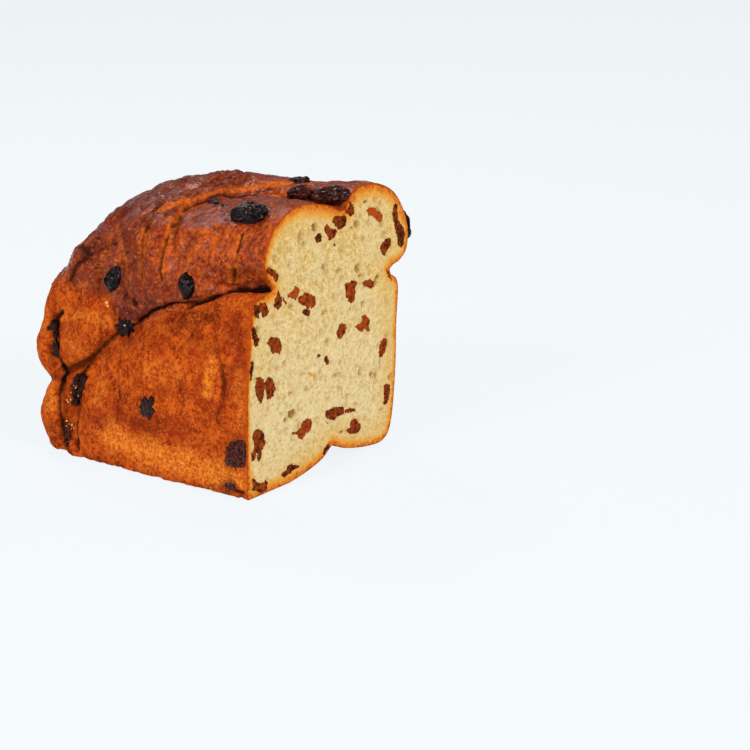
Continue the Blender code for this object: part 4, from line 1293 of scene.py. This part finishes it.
class Finish:
    """A material and short names for the nodes that it is made of."""

    def __init__(self, name):
        self.material = bpy.data.materials.new(name)
        self.material.use_nodes = True
        self.tree = self.material.node_tree
        self.shader = self.tree.nodes["Principled BSDF"]
        self.place = self.tree.nodes.new("ShaderNodeTexCoord").outputs["Object"]

    def put(self, value, socket):
        if isinstance(value, bpy.types.NodeSocket):
            self.tree.links.new(value, socket)
        elif isinstance(value, tuple) and len(socket.default_value) == 4:
            socket.default_value = (*value, 1)
        else:
            socket.default_value = value

    def math(self, operation, a, b, clamp=False):
        node = self.tree.nodes.new("ShaderNodeMath")
        node.operation = operation
        node.use_clamp = clamp
        self.put(a, node.inputs[0])
        self.put(b, node.inputs[1])
        return node.outputs[0]

    def band(self, value, low, high):
        """0 below low, 1 above high, or the other way round where low is the larger."""
        node = self.tree.nodes.new("ShaderNodeMapRange")
        node.interpolation_type = "SMOOTHSTEP"
        self.put(value, node.inputs["Value"])
        node.inputs["From Min"].default_value = low
        node.inputs["From Max"].default_value = high
        return node.outputs["Result"]

    def mix(self, share, a, b):
        node = self.tree.nodes.new("ShaderNodeMix")
        node.data_type = "RGBA"
        self.put(share, node.inputs[0])
        self.put(a, node.inputs[6])
        self.put(b, node.inputs[7])
        return node.outputs[2]

    def tint(self, base, share, strength, *colour):
        """The base under a layer of colour, which has that strength where the share is 1."""
        return self.mix(self.math("MULTIPLY", share, strength), base, linear(*colour))

    def attribute(self, name):
        node = self.tree.nodes.new("ShaderNodeAttribute")
        node.attribute_name = name
        return node.outputs["Fac"]

    def noise(self, size, detail=2.0, rough=0.5):
        """Noise with features of that many millimetres."""
        node = self.tree.nodes.new("ShaderNodeTexNoise")
        self.put(self.place, node.inputs["Vector"])
        node.inputs["Scale"].default_value = 1 / (size * MM)
        node.inputs["Detail"].default_value = detail
        node.inputs["Roughness"].default_value = rough
        return node.outputs["Fac"]

    def cells(self, size, to_edge=False):
        node = self.tree.nodes.new("ShaderNodeTexVoronoi")
        node.feature = "DISTANCE_TO_EDGE" if to_edge else "F1"
        self.put(self.place, node.inputs["Vector"])
        node.inputs["Scale"].default_value = 1 / (size * MM)
        return node.outputs["Distance"]

    def bump(self, height, distance, strength, under=None):
        node = self.tree.nodes.new("ShaderNodeBump")
        self.put(strength, node.inputs["Strength"])
        node.inputs["Distance"].default_value = distance * MM
        self.put(height, node.inputs["Height"])
        if under:
            self.put(under, node.inputs["Normal"])
        return node.outputs["Normal"]

    def finish(self, colour, roughness, normal, specular):
        self.put(colour, self.shader.inputs["Base Color"])
        self.put(roughness, self.shader.inputs["Roughness"])
        self.put(normal, self.shader.inputs["Normal"])
        self.put(specular, self.shader.inputs["Specular IOR Level"])
        return self.material


def crust_material():
    f = Finish("crust")
    roof, torn, painted_shade = f.attribute("roof"), f.attribute("torn"), f.attribute("painted_shade")
    burn_and_shade, pale, rim = f.attribute("burn_and_shade"), f.attribute("pale"), f.attribute("rim")
    crown, string = f.attribute("crown"), f.attribute("string")
    grain = f.noise(1.5, 4, 0.66)
    granules = f.band(f.cells(1.05), 0.5, 0.12)
    pits = f.noise(0.6, 2, 0.6)
    medium = f.noise(3.8, 3, 0.6)
    wide = f.noise(14, 2)
    side = f.mix(f.band(grain, 0.34, 0.66), linear(136, 38, 8), linear(206, 88, 20))
    side = f.tint(side, granules, 0.3, 234, 116, 38)
    side = f.tint(side, f.band(medium, 0.5, 0.64), 0.55, 222, 103, 29)
    side = f.tint(side, f.band(medium, 0.47, 0.33), 0.55, 138, 38, 10)
    side = f.tint(side, f.band(wide, 0.5, 0.36), 0.5, 144, 42, 14)
    light_crust = f.mix(f.band(grain, 0.36, 0.64), linear(198, 80, 14), linear(246, 142, 42))
    light_crust = f.tint(light_crust, granules, 0.4, 254, 184, 92)
    light_crust = f.tint(light_crust, f.band(medium, 0.47, 0.33), 0.5, 180, 66, 14)
    side = f.mix(pale, side, light_crust)
    speck = f.math("MULTIPLY", f.band(f.cells(1.3), 0.32, 0.14), f.band(f.noise(4, 2), 0.42, 0.6))
    side = f.tint(side, speck, 0.4, 244, 160, 70)
    top = f.mix(f.band(grain, 0.34, 0.66), linear(108, 31, 10), linear(190, 80, 28))
    top = f.tint(top, granules, 0.16, 214, 116, 50)
    top = f.tint(top, f.band(medium, 0.52, 0.68), 0.55, 200, 90, 28)
    top = f.tint(top, f.band(medium, 0.47, 0.34), 0.65, 92, 26, 10)
    top = f.tint(top, f.band(wide, 0.48, 0.36), 0.35, 116, 38, 18)
    top = f.tint(top, f.band(string, 0.42, 0.2), 0.4, 214, 108, 38)
    top = f.tint(top, f.band(string, 0.6, 0.85), 0.65, 100, 36, 22)
    fleck = f.math("MULTIPLY", f.band(f.cells(1.5), 0.34, 0.16), f.band(f.noise(5, 2), 0.44, 0.58))
    top = f.tint(top, fleck, 0.5, 226, 134, 58)
    top = f.tint(top, crown, 0.5, 88, 28, 12)
    colour = f.mix(roof, side, top)
    ragged = f.band(f.noise(1.6, 3, 0.6), 0.26, 0.46)
    lifted = f.math("MULTIPLY", torn, ragged)
    colour = f.mix(lifted, colour, f.mix(f.band(grain, 0.3, 0.7), linear(164, 54, 10), linear(226, 118, 36)))
    edge = f.math("MULTIPLY", rim, f.math("SUBTRACT", 0.6, f.math("MULTIPLY", roof, 0.3)))
    colour = f.mix(edge, colour, linear(180, 70, 12))
    # Burnt crust, with painted shade round the raisins, in valleys and under the lobes
    scorch_and_shade = f.math("MULTIPLY", burn_and_shade, f.band(f.noise(1.8, 3, 0.6), 0.3, 0.6))
    colour = f.mix(scorch_and_shade, colour, linear(82, 18, 7))
    # Painted shade in the pits of the bump
    colour = f.tint(colour, f.band(pits, 0.38, 0.26), 0.65, 80, 20, 6)
    # Painted shade in the creases, slits and pits
    colour = f.mix(painted_shade, colour, linear(26, 6, 2))
    dull = f.math("MAXIMUM", torn, painted_shade)
    gloss = f.math("MULTIPLY", roof, f.math("SUBTRACT", 1.0, dull), clamp=True)
    rough = f.math("SUBTRACT", 0.74, f.math("MULTIPLY", gloss, f.band(medium, 0.0, 0.8)))
    coarse = f.math("SUBTRACT", 0.8, f.math("MULTIPLY", roof, 0.5))
    normal = f.bump(pits, 0.4, coarse)
    normal = f.bump(f.math("ADD", grain, f.math("MULTIPLY", granules, 0.25)), 0.7, coarse, normal)
    normal = f.bump(medium, 1.0, 0.5, normal)
    shine = f.math("SUBTRACT", 0.085, f.math("MULTIPLY", crown, 0.04))
    return f.finish(colour, rough, normal, f.math("ADD", 0.03, f.math("MULTIPLY", gloss, shine)))


def crumb_material():
    f = Finish("crumb")
    pore, ratio, warm = f.attribute("pore"), f.attribute("ratio"), f.attribute("warm")
    pocket, hollow, milky = f.attribute("pocket"), f.attribute("hollow"), f.attribute("milky")
    fine = f.noise(0.8, 3, 0.65)
    soft = f.noise(2.2, 3, 0.6)
    wide = f.noise(12, 2)
    pits = f.math("MULTIPLY", f.band(f.cells(1.3), 0.34, 0.12), f.band(f.noise(2.6, 2), 0.42, 0.54))
    walls = f.math("MULTIPLY", f.band(f.cells(2.4, True), 0.16, 0.02), f.band(f.noise(5, 2), 0.36, 0.56))
    cream = f.mix(f.band(fine, 0.3, 0.62), linear(184, 148, 84), linear(226, 195, 128))
    cream = f.tint(cream, milky, 0.45, 226, 206, 162)
    # Painted highlight on the raised cell walls
    cream = f.tint(cream, walls, 0.6, 236, 214, 158)
    # Painted shade in the low parts of the soft relief, and painted highlight on its high parts
    cream = f.tint(cream, f.band(soft, 0.48, 0.32), 0.55, 188, 148, 78)
    cream = f.tint(cream, f.band(soft, 0.53, 0.68), 0.7, 234, 213, 160)
    cream = f.tint(cream, f.band(wide, 0.42, 0.6), 0.4, 220, 198, 150)
    cream = f.tint(cream, warm, 0.6, 216, 166, 76)
    # Painted shade in the small pits, the pores and the deep hollows
    cream = f.tint(cream, pits, 0.4, 186, 144, 72)
    cream = f.tint(cream, pore, 0.5, 186, 144, 68)
    cream = f.tint(cream, f.band(hollow, 0.3, 0.9), 0.8, 136, 92, 32)
    cream = f.tint(cream, pocket, 0.4, 176, 100, 36)
    wander = f.math("MULTIPLY", f.math("SUBTRACT", f.noise(1.5, 3), 0.5), 0.5)
    heat = f.math("ADD", ratio, f.math("MULTIPLY", wander, f.band(ratio, 0.0, 0.1)))
    colour = f.mix(f.band(heat, 0.66, 0.36), cream, linear(222, 154, 62))
    colour = f.mix(f.band(heat, 0.36, 0.16), colour, linear(214, 118, 32))
    colour = f.mix(f.band(heat, 0.13, 0.0), colour, linear(158, 60, 14))
    baked = f.math("MULTIPLY", f.band(heat, 0.4, 0.1), f.band(f.noise(1.3, 3, 0.6), 0.52, 0.66))
    colour = f.tint(colour, baked, 0.7, 150, 58, 12)
    normal = f.bump(fine, 0.4, 0.5)
    raised = f.math("ADD", soft, f.math("MULTIPLY", walls, 0.5))
    dimples = f.math("SUBTRACT", raised, f.math("MULTIPLY", pits, 0.8))
    normal = f.bump(dimples, 0.7, 0.5, normal)
    material = f.finish(colour, 0.9, normal, 0.05)
    f.shader.inputs["Subsurface Weight"].default_value = 0.15
    f.shader.inputs["Subsurface Radius"].default_value = (1.0, 0.6, 0.3)
    f.shader.inputs["Subsurface Scale"].default_value = 1.5 * MM
    return material


def cut_raisin_material():
    f = Finish("raisin_flesh")
    edge, tone = f.attribute("edge"), f.attribute("tone")
    veins = f.noise(1.0, 3, 0.65)
    blotch = f.noise(2.2, 2)
    shade = f.math("ADD", tone, f.math("MULTIPLY", f.math("SUBTRACT", blotch, 0.5), 2.4), clamp=True)
    flesh = f.mix(shade, linear(56, 10, 2), linear(172, 70, 8))
    flesh = f.tint(flesh, f.band(veins, 0.52, 0.72), 0.5, 178, 88, 20)
    flesh = f.tint(flesh, f.band(veins, 0.46, 0.3), 0.5, 70, 18, 4)
    flesh = f.tint(flesh, f.band(edge, 0.5, 0.0), 0.3, 130, 60, 16)
    flesh = f.mix(f.band(tone, 1.05, 1.4), flesh, linear(238, 140, 30))
    normal = f.bump(veins, 0.5, 0.8)
    return f.finish(flesh, 0.65, normal, 0.05)


def baked_raisin_material():
    f = Finish("raisin_skin")
    mottle = f.noise(1.6, 3, 0.6)
    skin = f.mix(f.band(mottle, 0.5, 0.75), linear(6, 3, 3), linear(58, 18, 12))
    brown = f.math("MULTIPLY", f.attribute("brown"), f.band(f.noise(1.1, 3, 0.6), 0.4, 0.62))
    skin = f.tint(skin, brown, 0.8, 104, 36, 16)
    normal = f.bump(f.noise(1.2, 3), 0.4, 0.6)
    return f.finish(skin, f.math("ADD", 0.06, f.math("MULTIPLY", mottle, 0.3)), normal, 0.15)


def stuck_crumb_material():
    f = Finish("stuck_crumb")
    grain = f.noise(0.5, 2)
    colour = f.mix(f.band(grain, 0.35, 0.65), linear(206, 110, 40), linear(246, 186, 104))
    return f.finish(colour, 0.8, f.bump(grain, 0.2, 0.6), 0.1)


# Stage
def placed_facing(name, data, place, direction):
    """A light or camera at that place that faces that way."""
    holder = bpy.data.objects.new(name, data)
    holder.location = place
    holder.rotation_mode = "QUATERNION"
    holder.rotation_quaternion = direction.to_track_quat("-Z", "Y")
    bpy.context.scene.collection.objects.link(holder)
    return holder


def build_stage():
    bpy.ops.mesh.primitive_plane_add(size=FLOOR_SIZE, location=(0, 0, FLOOR_HEIGHT))
    floor = bpy.context.object
    floor.name = "floor"
    f = Finish("floor")
    f.shader.inputs["Base Color"].default_value = (0.08, 0.08, 0.08, 1)
    f.shader.inputs["Roughness"].default_value = 1.0
    f.shader.inputs["Specular IOR Level"].default_value = 0.0
    f.shader.inputs["Emission Color"].default_value = (0.885, 0.93, 0.955, 1)
    f.shader.inputs["Emission Strength"].default_value = FLOOR_GLOW
    floor.data.materials.append(f.material)
    world = bpy.data.worlds.new("studio")
    bpy.context.scene.world = world
    world.use_nodes = True
    sky = world.node_tree.nodes["Background"]
    sky.inputs["Color"].default_value = (0.96, 0.97, 1.0, 1)
    sky.inputs["Strength"].default_value = SKY_GLOW
    for name, place, size, power in LIGHTS:
        light = bpy.data.lights.new(name, "AREA")
        light.size = size
        light.energy = power
        placed_facing(name, light, place, LIGHTS_AIM - Vector(place))


def build_camera():
    camera = bpy.data.cameras.new("camera")
    camera.lens = LENS
    camera.sensor_width = SENSOR
    camera.clip_start = 0.01
    bpy.context.scene.camera = placed_facing("camera", camera, CAMERA_AT, CAMERA_FORWARD)


def place_piece(piece, material, slot, *nodes):
    piece.data.materials.append(material)
    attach(piece, "root")
    if nodes:
        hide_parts(*nodes)


build_camera()
build_stage()
bpy.context.scene.view_settings.view_transform = "Standard"
crust_piece, rim_loop = build_crust()
cut_raisins, raisin_outlines = build_cut_raisins(rim_loop)
crumb_piece = build_crumb(rim_loop, raisin_outlines)
baked_raisins = build_baked_raisins(crust_piece)
stuck_crumbs = build_stuck_crumbs(crust_piece, baked_raisins)
place_piece(crust_piece, crust_material(), "bread", "loaf")
place_piece(crumb_piece, crumb_material(), "bread", "loaf")
place_piece(cut_raisins, cut_raisin_material(), "raisin_cut", *CUT_NODES)
place_piece(baked_raisins, baked_raisin_material(), "raisin_baked", *CRUST_NODES)
place_piece(stuck_crumbs, stuck_crumb_material(), "bread")
